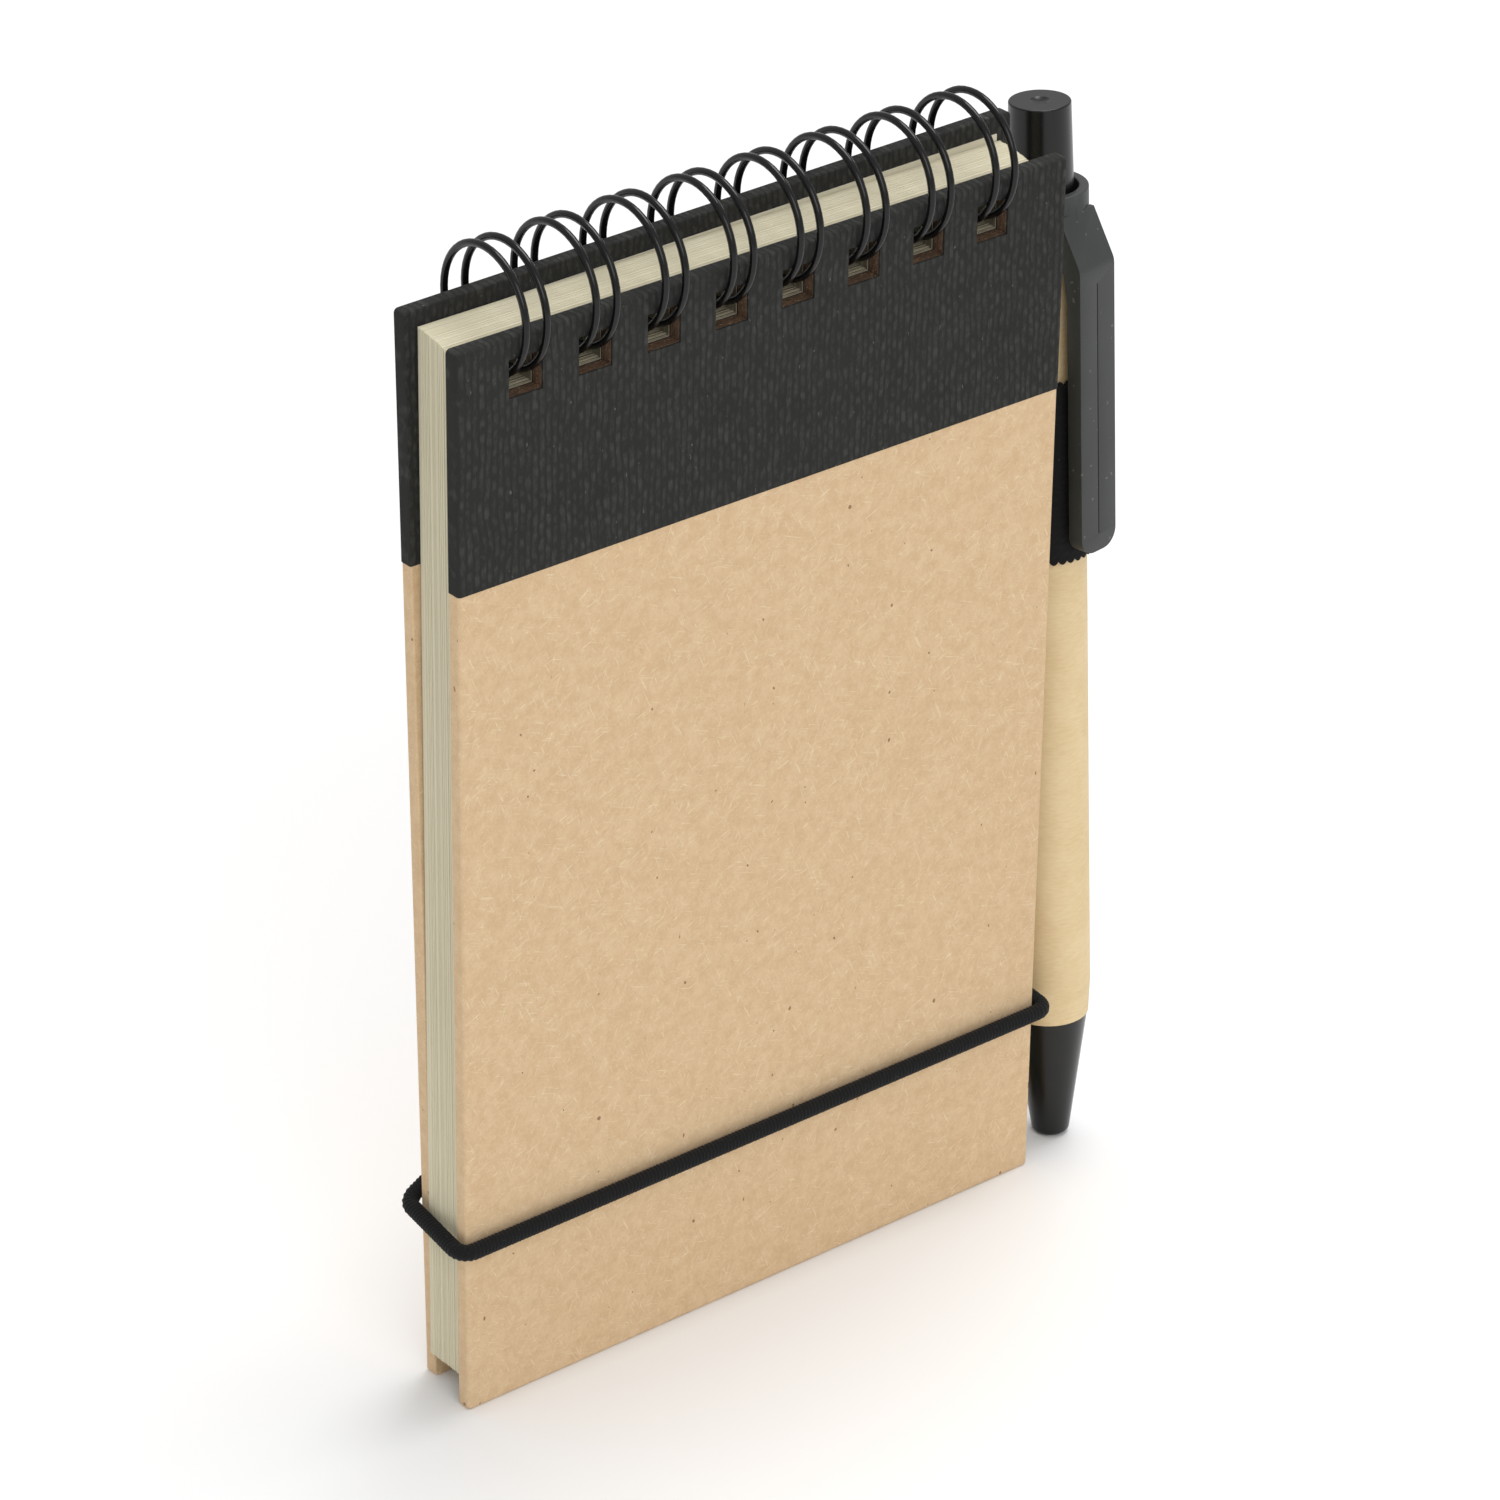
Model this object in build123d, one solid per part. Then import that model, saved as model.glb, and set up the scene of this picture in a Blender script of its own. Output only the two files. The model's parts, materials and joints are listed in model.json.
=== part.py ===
from build123d import *
import os
from math import atan, cos, degrees, pi, radians, sin, tan

# Pocket jotter bound at the top with a twin-loop wire, with a round elastic closure cord and a click pen
# in a ribbon loop. It stands upright on the bottom edges of its covers, front cover towards -Y.
# Millimetres, +Z up. Everything is drawn in the notebook's own frame: x from the front cover's left edge,
# y from its outer face inwards, z from its bottom edge. The last step moves the origin to the middle of
# the footprint.

# ---------------------------------------------------------------- driving dimensions
COVER_W, COVER_H = 77.6, 121.85          # front cover, over its wraps
BACK_W = 77.2                            # back cover, cut a little narrower
BACK_RISE = (1.2, 2.2)                   # and taller: extra height of its top edge, left and right
BOARD_T = 1.42                           # grey board inside each cover
CLOTH_T, KRAFT_T = 0.24, 0.16            # bookcloth and kraft paper round the board
TURN_IN_T, LINING_T = 0.16, 0.12         # paper turned in over the inner face, and the lining over it
TURN_IN_W = 14.0                         # how far the wraps are turned in
LINING_INSET = 2.0                       # lining's margin inside the cover's edge
CLOTH_DEPTH = 26.1                       # width of the cloth band at the top
EDGE_R, BOARD_EDGE_R, CORNER_R = 0.42, 0.25, 0.55

LEAF_W, LEAF_TOP, LEAF_BOTTOM = 74.0, 121.3, 3.5
LEAF_X_LOW, LEAF_X_FRONT, LEAF_X_BACK = 0.5, 0.6, 1.7   # left edge: at the bottom, and at the top
LEAF_COUNT, LEAVES_PER_STACK = 70, 10
LEAF_T = 0.0917                          # 80 g/m2 recycled paper

HOLE_PITCH, HOLE_COUNT, HOLE = 8.467, 8, 4.1
HOLE_X_FRONT, HOLE_X_BACK = 6.25, 6.5    # left side of the first hole in the front cover, in the rest
HOLE_BOTTOM = 115.4

WIRE_D, RING_R = 0.8, 6.6                # wire, and the ring's radius to the wire's middle
RING_Y, RING_Z = 5.22, 122.7             # ring centre: the axis that covers and leaves turn about
LEG_X, LEG_GAP = 7.45, 2.3               # first leg, and the distance between a finger's two legs
BASE_ANGLE, TIP_ANGLE = 283.0, -64.0     # where fingers join and where they end, from straight down

BACK_TILT, BACK_SKEW = 0.6, 1.0          # back cover's lean towards the front, and its side shift
BACK_X = 0.1                             # back cover's top left corner
STACK_T = 10.44                          # whole thickness at the rings

CORD_D, CORD_GAP = 1.8, 0.05
CORD_Z_FRONT, CORD_Z_BACK, ANCHOR_Z = 20.45, 20.9, 27.0
CORD_CORNER_X, CORD_LEFT = -1.3, -2.07   # front left bend, and the outermost point of its surface
ANCHOR_INSET, ANCHOR_HOLE_D = 10.0, 2.3
CORD_BEND_R = 1.45
CRIMP_W, CRIMP_L, CRIMP_T = 4.0, 9.0, 1.0

PEN_X, PEN_Y, PEN_Z = 84.5, 4.05, 0.12   # centre of the nose's mouth
PEN_LEAN = 3.87                          # degrees, top of the pen towards +Y
PEN_LENGTH = 122.3
BARREL_R, BARREL_BORE_R = 4.6, 4.0
NOSE_TOP, NOSE_MOUTH_R, NOSE_TOP_R, NOSE_SPIGOT = 15.3, 2.05, 4.25, 6.0
REFILL_HOLE_R, SPRING_ROOM_R = 1.25, 2.5
BARREL_TOP = 110.4
COLLAR_TOP, COLLAR_R, COLLAR_BORE_R = 113.0, 5.05, 4.0
SLEEVE_BOTTOM, SLEEVE_BORE_R = 99.0, 3.6
BUTTON_R_TOP, BUTTON_R_LOW, BUTTON_BOTTOM = 3.3, 3.5, 101.5
BUTTON_TRAVEL = 5.0
DIMPLE_R, DIMPLE_DEPTH = 1.1, 0.25
CLIP_TURN = 7.8                          # degrees that the clip points to the right of straight ahead
CLIP_INNER, CLIP_OUTER, CLIP_RIDGE = 5.9, 7.4, 7.7
CLIP_HALF_W, CLIP_BOTTOM, CLIP_SHOULDER = 2.75, 73.3, 105.8
SHOULDER_R, SEAM_W, SEAM_DEPTH = 2.0, 0.14, 0.12   # shoulder rounding, and the moulding seam on the ridge
SPRING_WIRE_D, SPRING_R, SPRING_TURNS = 0.4, 1.95, 8
SPRING_BOTTOM, SPRING_TOP, SPRING_GAP = 3.0, 13.0, 0.06
REFILL_R, REFILL_TIP = 1.5, 2.0
CAM_TOP, CAM_R = 101.3, 2.5

LOOP_BORE_R, LOOP_R = 4.72, 5.4
LOOP_BOTTOM, LOOP_TOP = 72.0, 92.0
LOOP_TAIL, LOOP_TAIL_T = 8.0, 1.0

# ---------------------------------------------------------------- values worked out from them
LINING_OUT = CLOTH_T + BOARD_T + TURN_IN_T              # depth at which the turned-in wraps end
COVER_T = LINING_OUT + LINING_T                         # whole cover
LEAF_GAP = 0.05
LEAF_FRONT = COVER_T + LEAF_GAP
STACKS = LEAF_COUNT // LEAVES_PER_STACK
STACK_TOP_T = LEAVES_PER_STACK * LEAF_T
LEAF_BACK_TOP = LEAF_FRONT + STACKS * STACK_TOP_T
LEAF_BACK_BOTTOM = LEAF_BACK_TOP - (LEAF_TOP - LEAF_BOTTOM) * tan(radians(BACK_TILT))
KRAFT_STEP = CLOTH_T - KRAFT_T                          # kraft lies this much below the cloth's face
BACK_FACE_AT_ANCHOR = STACK_T - (RING_Z - ANCHOR_Z) * tan(radians(BACK_TILT))
CORD_OFF = CORD_GAP + CORD_D / 2                        # cord's middle, out from a cover's face

X_LOW, X_HIGH = CORD_LEFT, PEN_X + LOOP_R
Y_LOW = -CORD_GAP - CORD_D
Y_HIGH = PEN_Y + COLLAR_TOP * sin(radians(PEN_LEAN)) + COLLAR_R
ORIGIN_X, ORIGIN_Y = (X_LOW + X_HIGH) / 2, (Y_LOW + Y_HIGH) / 2

# ---------------------------------------------------------------- covers


def outline(width, inset, skew, rise):
    """A cover's outline, inset all round and shifted sideways by skew at the bottom, kraft down to z = 0."""
    left, right = inset, width - inset
    low, high = inset - KRAFT_STEP, COVER_H - inset
    shift_low, shift_high = skew * (COVER_H - low) / COVER_H, skew * inset / COVER_H
    return [
        (left + shift_low, low),
        (right + shift_low, low),
        (right + shift_high, high + rise[1]),
        (left + shift_high, high + rise[0]),
    ]


def slab(width, inset, skew, rise, depth_from, depth_to, corner=0.0):
    """A plate in the cover's outline, between two depths below the cover's outer face."""
    shape = make_face(Polyline(*outline(width, inset, skew, rise), close=True))
    if corner:
        shape = fillet(shape.vertices(), corner)
    plane = Plane(origin=(0, depth_from, 0), x_dir=(1, 0, 0), z_dir=(0, -1, 0))
    return extrude(plane * shape, -(depth_to - depth_from))


def round_rims(plate, outer_r, inner_r):
    """Rounds the rim of a plate's outer face and the rim of its inner face."""
    faces = plate.faces().sort_by(Axis.Y)
    plate = fillet(faces[0].edges(), outer_r)
    return fillet(plate.faces().sort_by(Axis.Y)[-1].edges(), inner_r)


def wire_holes(first_x, y_from, y_to):
    """The row of square holes that the wire's fingers pass through."""
    holes = []
    for n in range(HOLE_COUNT):
        centre = (first_x + HOLE / 2 + n * HOLE_PITCH, (y_from + y_to) / 2, HOLE_BOTTOM + HOLE / 2)
        holes.append(Pos(*centre) * Box(HOLE, y_to - y_from, HOLE))
    return Compound(holes)


def above(z):
    return Pos(COVER_W / 2, 0, z + COVER_H) * Box(4 * COVER_W, 4 * COVER_W, 2 * COVER_H)


def below(z):
    return Pos(COVER_W / 2, 0, z - COVER_H) * Box(4 * COVER_W, 4 * COVER_W, 2 * COVER_H)


def cover(width, skew, rise):
    """Board, kraft wrap, cloth band and lining of one cover, with its outer face on the plane y = 0."""
    board_in = CLOTH_T + BOARD_T
    board = slab(width, CLOTH_T, skew, rise, CLOTH_T, board_in, CORNER_R - CLOTH_T)
    board = round_rims(board, BOARD_EDGE_R, BOARD_EDGE_R)
    window = slab(width, TURN_IN_W, skew, rise, board_in, LINING_OUT)

    cloth_block = round_rims(slab(width, 0, skew, rise, 0, LINING_OUT, CORNER_R), EDGE_R, EDGE_R / 2)
    kraft_block = slab(width, KRAFT_STEP, skew, rise, KRAFT_STEP, LINING_OUT, CORNER_R - KRAFT_STEP)
    kraft_block = round_rims(kraft_block, EDGE_R, EDGE_R / 2)
    boundary = COVER_H - CLOTH_DEPTH
    cloth = (cloth_block - board - window) & above(boundary)
    kraft = (kraft_block - board - window) & below(boundary)
    lining = slab(width, LINING_INSET, skew, rise, LINING_OUT, COVER_T) + window
    return {"board": board, "kraft": kraft, "cloth": cloth, "lining": lining}


def front_cover():
    holes = wire_holes(HOLE_X_FRONT, -1, COVER_T + 1)
    return {f"front_{name}": piece - holes for name, piece in cover(COVER_W, 0, (0, 0)).items()}


def anchor_x():
    """Where the cord's two ends enter the back cover."""
    shift = BACK_X + BACK_SKEW * (COVER_H - ANCHOR_Z) / COVER_H
    return shift + ANCHOR_INSET, shift + BACK_W - ANCHOR_INSET


def back_cover():
    """The back cover, its inner face towards the leaves, leaning as the closed book leaves it."""
    pieces = cover(BACK_W, BACK_SKEW, BACK_RISE)
    placed = {}
    for name, piece in pieces.items():
        turned = Pos(BACK_X, STACK_T, 0) * mirror(piece, about=Plane.XZ)
        placed[f"back_{name}"] = turned - wire_holes(HOLE_X_BACK, STACK_T - COVER_T - 1, STACK_T + 1)
    pocket = loop_tail()
    for x in anchor_x():
        hole = Pos(x, STACK_T, ANCHOR_Z) * Rot(90, 0, 0) * Cylinder(ANCHOR_HOLE_D / 2, 2 * COVER_T)
        for name in ("back_board", "back_kraft"):
            placed[name] = placed[name] - hole
        placed["back_board"] = placed["back_board"] - crimp(x)
    placed["back_board"] = placed["back_board"] - pocket
    placed["back_kraft"] = placed["back_kraft"] - pocket
    return {name: lean(piece) & above(0) for name, piece in placed.items()}


def lean(piece):
    """Swings a piece drawn in the upright back cover about the ring centre, bottom towards the front."""
    return Pos(0, RING_Y, RING_Z) * Rot(-BACK_TILT, 0, 0) * Pos(0, -RING_Y, -RING_Z) * piece


def crimp(x):
    """Flat metal end that holds the cord, let into the board under the lining."""
    middle = STACK_T - CLOTH_T - BOARD_T + CRIMP_T / 2
    plate = Pos(x, middle, ANCHOR_Z) * Box(CRIMP_W, CRIMP_T, CRIMP_L)
    return fillet(plate.edges().filter_by(Axis.Y), CRIMP_W / 4)


# ---------------------------------------------------------------- leaves


def leaf_stack(number):
    """Ten leaves as one wedged block: the book is thinner at the bottom, and the leaves fan sideways."""
    top_y = LEAF_FRONT + number * STACK_TOP_T
    bottom_t = (LEAF_BACK_BOTTOM - LEAF_FRONT) / STACKS
    bottom_y = LEAF_FRONT + number * bottom_t
    side = [
        (0, bottom_y, LEAF_BOTTOM),
        (0, bottom_y + bottom_t, LEAF_BOTTOM),
        (0, top_y + STACK_TOP_T, LEAF_TOP),
        (0, top_y, LEAF_TOP),
    ]
    wedge = extrude(make_face(Polyline(*side, close=True)), COVER_W, dir=(1, 0, 0), both=True)
    share = number / (STACKS - 1)
    top_x = LEAF_X_FRONT + share * (LEAF_X_BACK - LEAF_X_FRONT)
    sheet = [
        (LEAF_X_LOW, 0, LEAF_BOTTOM),
        (LEAF_X_LOW + LEAF_W, 0, LEAF_BOTTOM),
        (top_x + LEAF_W, 0, LEAF_TOP),
        (top_x, 0, LEAF_TOP),
    ]
    block = wedge & extrude(make_face(Polyline(*sheet, close=True)), STACK_T, dir=(0, 1, 0))
    return block - wire_holes(HOLE_X_BACK, 0, STACK_T)


def leaf_stacks():
    stacks = {}
    for number in range(STACKS):
        first = number * LEAVES_PER_STACK + 1
        name = f"leaves_{first:02d}_to_{first + LEAVES_PER_STACK - 1:02d}"
        stacks[name] = leaf_stack(number)
    return stacks


# ---------------------------------------------------------------- binding wire


def ring_point(angle):
    """A point of the ring, by its angle from straight down, turning towards the front cover."""
    return RING_Y - RING_R * sin(radians(angle)), RING_Z - RING_R * cos(radians(angle))


def leg(x):
    """One leg of a finger: the wire's round section carried round the ring."""
    y, z = ring_point(TIP_ANGLE)
    tangent = (0, -cos(radians(TIP_ANGLE)), sin(radians(TIP_ANGLE)))
    section = Plane(origin=(x, y, z), x_dir=(1, 0, 0), z_dir=tangent) * Circle(WIRE_D / 2)
    axis = Axis((0, RING_Y, RING_Z), (-1, 0, 0))
    return revolve(section, axis, BASE_ANGLE - TIP_ANGLE)


def cross_bar(x_from, x_to, angle):
    """The short stretch across, where two legs meet."""
    y, z = ring_point(angle)
    bar = Rot(0, 90, 0) * Cylinder(WIRE_D / 2, x_to - x_from)
    return Pos((x_from + x_to) / 2, y, z) * bar


def twin_loop_wire():
    """One continuous wire: eight narrow fingers, joined to their neighbours behind the back cover."""
    bar_inset = degrees(WIRE_D / 2 / RING_R)
    solid = None
    for n in range(HOLE_COUNT):
        left = LEG_X + n * HOLE_PITCH
        right = left + LEG_GAP
        pieces = [leg(left), leg(right), cross_bar(left, right, TIP_ANGLE + bar_inset)]
        if n < HOLE_COUNT - 1:
            pieces.append(cross_bar(right, left + HOLE_PITCH, BASE_ANGLE - bar_inset))
        for piece in pieces:
            solid = piece if solid is None else solid + piece
    return solid


# ---------------------------------------------------------------- closure cord


def elastic_cord():
    """Round cord from one anchor hole, round the left edges, across the front, and back to the other."""
    left_hole, right_hole = anchor_x()
    back_y = BACK_FACE_AT_ANCHOR + CORD_OFF
    crimp_y = BACK_FACE_AT_ANCHOR - CLOTH_T - BOARD_T + CRIMP_T + CORD_GAP
    back_edge_shift = BACK_X + BACK_SKEW * (COVER_H - CORD_Z_BACK) / COVER_H
    left_back = back_edge_shift - CORD_OFF
    right_back = back_edge_shift + BACK_W + CORD_OFF + 2 * CORD_GAP
    right_front = COVER_W + CORD_OFF
    route = [
        (left_hole, crimp_y, ANCHOR_Z),
        (left_hole, back_y, ANCHOR_Z),
        (left_back, back_y, CORD_Z_BACK),
        (CORD_CORNER_X, -CORD_OFF, CORD_Z_FRONT),
        (right_front, -CORD_OFF, CORD_Z_FRONT),
        (right_back, back_y, CORD_Z_BACK),
        (right_hole, back_y, ANCHOR_Z),
        (right_hole, crimp_y, ANCHOR_Z),
    ]
    hole_bend = 1.0
    radii = [hole_bend, CORD_BEND_R, CORD_BEND_R, CORD_BEND_R, CORD_BEND_R, hole_bend]
    path = FilletPolyline(*route, radius=radii)
    section = Plane(origin=route[0], z_dir=(0, 1, 0)) * Circle(CORD_D / 2)
    cord = sweep(section, path)
    exact = pi * (CORD_D / 2) ** 2 * path.length
    print(f"cord length {path.length:.1f} mm, volume {cord.volume:.1f}, section x length {exact:.1f}")
    print("cord bend radii", radii)
    return cord


# ---------------------------------------------------------------- pen


def on_pen(shape):
    """Places a piece drawn on the Z axis, mouth of the nose at 0, on the leaning pen."""
    return Pos(PEN_X, PEN_Y, PEN_Z) * Rot(-PEN_LEAN, 0, 0) * shape


def turned(*points):
    """A solid of revolution about Z from (radius, height) points."""
    face = make_face(Polyline(*[(r, 0, z) for r, z in points], close=True))
    return revolve(face, Axis.Z, 360)


def pen_nose():
    spigot_r = BARREL_BORE_R
    nose = turned(
        (0, 0),
        (NOSE_MOUTH_R, 0),
        (NOSE_TOP_R, NOSE_TOP),
        (spigot_r, NOSE_TOP),
        (spigot_r, NOSE_TOP + NOSE_SPIGOT),
        (0, NOSE_TOP + NOSE_SPIGOT),
    )
    nose = fillet(nose.edges().filter_by(GeomType.CIRCLE).sort_by(Axis.Z)[0], 0.6)
    room = turned(
        (0, -1),
        (REFILL_HOLE_R, -1),
        (REFILL_HOLE_R, SPRING_BOTTOM - 0.6),
        (SPRING_ROOM_R, SPRING_BOTTOM),
        (SPRING_ROOM_R, NOSE_TOP + NOSE_SPIGOT + 1),
        (0, NOSE_TOP + NOSE_SPIGOT + 1),
    )
    # the nose is thin at its mouth, so the spring room narrows to leave a wall
    outside = SPRING_ROOM_R + 1
    room = room - turned((1.75, 0), (outside, 0), (outside, 6.0), (2.3, 6.0), (2.2, 2.4), (1.75, 2.4))
    return nose - room


def pen_barrel():
    """Tube wound from kraft paper, pressed in a little where it meets the nose."""
    return turned(
        (BARREL_BORE_R, NOSE_TOP),
        (BARREL_R - 0.25, NOSE_TOP),
        (BARREL_R, NOSE_TOP + 4),
        (BARREL_R, BARREL_TOP),
        (BARREL_BORE_R, BARREL_TOP),
    )


def clip_blade():
    """The clip: a sloping shoulder off the collar, then a straight blade with a faint ridge down its face."""
    reach = COLLAR_R + 1.0
    side = [
        (COLLAR_BORE_R + 0.4, COLLAR_TOP - 2.0),
        (COLLAR_R - 0.1, COLLAR_TOP - 2.0),
        (CLIP_RIDGE, CLIP_SHOULDER),
        (CLIP_RIDGE, CLIP_BOTTOM),
        (CLIP_INNER, CLIP_BOTTOM),
        (CLIP_INNER, CLIP_SHOULDER - 4.0),
        (reach - 0.9, CLIP_SHOULDER + 0.5),
        (COLLAR_BORE_R + 0.7, BARREL_TOP + 0.05),
        (COLLAR_BORE_R + 0.4, BARREL_TOP + 0.05),
    ]
    face = make_face(Polyline(*[(0, -r, z) for r, z in side], close=True))
    blade = extrude(face, CLIP_HALF_W, dir=(1, 0, 0), both=True)
    blade = fillet(blade.edges().filter_by(Axis.Y).sort_by(Axis.Z)[0:2], 2.0)
    shoulder = blade.edges().filter_by(Axis.X).filter_by(lambda e: abs(e.center().Z - CLIP_SHOULDER) < 0.01)
    blade = fillet(shoulder.sort_by(Axis.Y)[0], SHOULDER_R)
    # two planes pare the outer face back to a ridge along its middle
    drop = degrees(atan((CLIP_RIDGE - CLIP_OUTER) / CLIP_HALF_W))
    tall = CLIP_SHOULDER - CLIP_BOTTOM + 20
    for hand in (1, -1):
        cutter = Pos(hand * CLIP_HALF_W, -CLIP_RIDGE - 1, CLIP_BOTTOM + tall / 2 - 5)
        block = Box(2 * CLIP_HALF_W, 2, tall)
        tip = Pos(-hand * CLIP_HALF_W, 1, 0) * block
        pare = Pos(0, -CLIP_RIDGE, 0) * Rot(0, 0, hand * drop) * Pos(0, CLIP_RIDGE, 0) * (cutter * tip)
        blade = blade - (Pos(hand * CLIP_HALF_W, -2, 0) * pare)
    seam = Pos(0, -CLIP_RIDGE, (CLIP_BOTTOM + CLIP_SHOULDER) / 2)
    return blade - seam * Box(SEAM_W, 2 * SEAM_DEPTH, CLIP_SHOULDER - CLIP_BOTTOM - 2 * SHOULDER_R)


def pen_clip():
    """Top fitting in one moulding: collar, sleeve inside the barrel, and clip."""
    collar = turned(
        (COLLAR_BORE_R, BARREL_TOP),
        (COLLAR_R, BARREL_TOP),
        (COLLAR_R, COLLAR_TOP),
        (COLLAR_BORE_R, COLLAR_TOP),
    )
    collar = fillet(collar.edges().filter_by(GeomType.CIRCLE).sort_by(Axis.Z)[-2:], 0.15)
    sleeve = turned(
        (SLEEVE_BORE_R, SLEEVE_BOTTOM),
        (BARREL_BORE_R, SLEEVE_BOTTOM),
        (BARREL_BORE_R, BARREL_TOP + 1.0),
        (SLEEVE_BORE_R, BARREL_TOP + 1.0),
    )
    fitting = collar + sleeve + clip_blade()
    # two guide lugs inside the collar keep the button from turning
    for hand in (90, 270):
        lug = Box(0.5, 1.2, COLLAR_TOP - BARREL_TOP - 0.6)
        lug = Pos(COLLAR_BORE_R - 0.1, 0, (BARREL_TOP + COLLAR_TOP) / 2) * lug
        fitting = fitting + Rot(0, 0, hand) * lug
    return Rot(0, 0, CLIP_TURN) * fitting


def pen_button():
    button = turned(
        (0, BUTTON_BOTTOM),
        (BUTTON_R_LOW, BUTTON_BOTTOM),
        (BUTTON_R_LOW, COLLAR_TOP),
        (BUTTON_R_TOP, PEN_LENGTH),
        (0, PEN_LENGTH),
    )
    rim = button.edges().filter_by(GeomType.CIRCLE).sort_by(Axis.Z)[-1]
    button = fillet(rim, 0.18)
    dish_r = (DIMPLE_R**2 + DIMPLE_DEPTH**2) / (2 * DIMPLE_DEPTH)
    dimple = Pos(0, 0, PEN_LENGTH - DIMPLE_DEPTH + dish_r) * Sphere(dish_r)
    hollow = Cylinder(CAM_R + 0.1, COLLAR_TOP - BUTTON_BOTTOM + 0.02)
    hollow = Pos(0, 0, (BUTTON_BOTTOM + COLLAR_TOP) / 2) * hollow
    return button - dimple - hollow


def pen_cam():
    """Click rotor: a stem inside the button with four ratchet teeth round its foot."""
    foot = BUTTON_BOTTOM - 3.2
    stem = turned((0, foot), (CAM_R, foot), (CAM_R, COLLAR_TOP - 0.02), (0, COLLAR_TOP - 0.02))
    stem = stem - Pos(0, 0, foot + 1.0) * Cylinder(REFILL_R, 2.0)
    teeth = None
    for n in range(4):
        tooth = Pos(CAM_R + 0.3, 0, foot + 1.4) * Box(1.0, 1.4, 2.8)
        tooth = Rot(0, 0, 90 * n) * tooth
        teeth = tooth if teeth is None else teeth + tooth
    inner, outer = CAM_R - 0.1, CAM_R + 0.4
    ring = turned((inner, foot), (outer, foot), (outer, foot + 1.0), (inner, foot + 1.0))
    return stem + teeth + ring


def pen_refill_tube():
    """Plastic ink tube, with the crimped ears that the spring pushes on."""
    top = BUTTON_BOTTOM - 3.2 + 2.0
    ears = turned((0, SPRING_TOP), (2.1, SPRING_TOP), (2.1, SPRING_TOP + 1.2), (0, SPRING_TOP + 1.2))
    tube = turned((0, SPRING_TOP), (REFILL_R, SPRING_TOP), (REFILL_R, top), (0, top))
    bore_r, foot = REFILL_R - 0.4, SPRING_TOP + 2
    bore = turned((0, foot), (bore_r, foot), (bore_r, top + 1), (0, top + 1))
    return tube + ears - bore


def pen_refill_tip():
    """Brass writing tip: a stepped cone with its ball seated in the end."""
    tip = REFILL_TIP
    return turned(
        (0, tip),
        (0.35, tip + 0.15),
        (0.5, tip + 0.9),
        (1.1, tip + 3.4),
        (1.1, tip + 6.0),
        (1.45, tip + 6.0),
        (1.45, SPRING_TOP),
        (0, SPRING_TOP),
    )


def pen_spring():
    height = SPRING_TOP - SPRING_GAP - SPRING_BOTTOM - SPRING_WIRE_D
    helix = Helix(pitch=height / SPRING_TURNS, height=height, radius=SPRING_R)
    start = helix @ 0
    section = Plane(origin=start, z_dir=helix % 0) * Circle(SPRING_WIRE_D / 2)
    spring = sweep(section, helix, is_frenet=True)
    return Pos(0, 0, SPRING_BOTTOM + SPRING_WIRE_D / 2) * spring


def pen():
    pieces = {
        "pen_nose": pen_nose(),
        "pen_barrel": pen_barrel(),
        "pen_clip": pen_clip(),
        "pen_button": pen_button(),
        "pen_cam": pen_cam(),
        "pen_refill_tube": pen_refill_tube(),
        "pen_refill_tip": pen_refill_tip(),
        "pen_spring": pen_spring(),
    }
    return {name: on_pen(piece) for name, piece in pieces.items()}


# ---------------------------------------------------------------- pen loop


def loop_tail():
    """The ribbon's doubled end, let into the inner face of the back board."""
    shift = BACK_X + BACK_SKEW * (COVER_H - LOOP_BOTTOM) / COVER_H
    x_from = shift + BACK_W - LOOP_TAIL
    x_to = PEN_X - LOOP_R + 0.4
    inner_y = STACK_T - LINING_OUT + TURN_IN_T
    box = Box(x_to - x_from, LOOP_TAIL_T, LOOP_TOP - LOOP_BOTTOM)
    return Pos((x_from + x_to) / 2, inner_y + LOOP_TAIL_T / 2, (LOOP_TOP + LOOP_BOTTOM) / 2) * box


def pen_loop():
    """Elastic ribbon round the barrel, its two ends brought together in the cover."""
    height = LOOP_TOP - LOOP_BOTTOM
    ring = Pos(0, 0, LOOP_BOTTOM + height / 2) * Cylinder(LOOP_R, height)
    bore = Pos(0, 0, LOOP_BOTTOM + height / 2) * Cylinder(LOOP_BORE_R, height + 8)
    return on_pen(ring) + lean(loop_tail()) - on_pen(bore)


# ---------------------------------------------------------------- assembly


def all_pieces():
    pieces = {}
    pieces.update(front_cover())
    pieces.update(back_cover())
    pieces.update(leaf_stacks())
    pieces["twin_loop_wire"] = twin_loop_wire()
    pieces["elastic_cord"] = elastic_cord()
    left_hole, right_hole = anchor_x()
    pieces["cord_crimp_left"] = lean(crimp(left_hole))
    pieces["cord_crimp_right"] = lean(crimp(right_hole))
    pieces["pen_loop"] = pen_loop()
    pieces.update(pen())
    return pieces


os.makedirs("parts", exist_ok=True)
for node, piece in all_pieces().items():
    export_step(Pos(-ORIGIN_X, -ORIGIN_Y, 0) * piece, f"parts/{node}.step")
print(f"origin in the notebook's frame: x {ORIGIN_X:.3f}, y {ORIGIN_Y:.3f}")
print(f"cover thickness {COVER_T:.2f}, leaves to y {LEAF_BACK_TOP:.2f} at the top")
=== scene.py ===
# %% [markdown]
# # A pocket sketchbook with its pen
#
# The real object is a top-bound sketchbook: two boards wrapped in flecked kraft paper, with a band of
# black bookcloth along the top, a block of cream leaves, a twin-loop wire, a round elastic cord and a
# click pen in a knitted ribbon loop. The boards, the wraps and most of the pen come from the imported model
# with their right shape, so here they only get materials. What bends or is too fine for a plain solid is
# made here: the single leaves, the wire's fingers, the knitted cord, the ribbon and the clip's rounded
# edges. The spring is copied so that it has a mesh of its own.

# %% Load the imported model
import json
import math
import random

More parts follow.
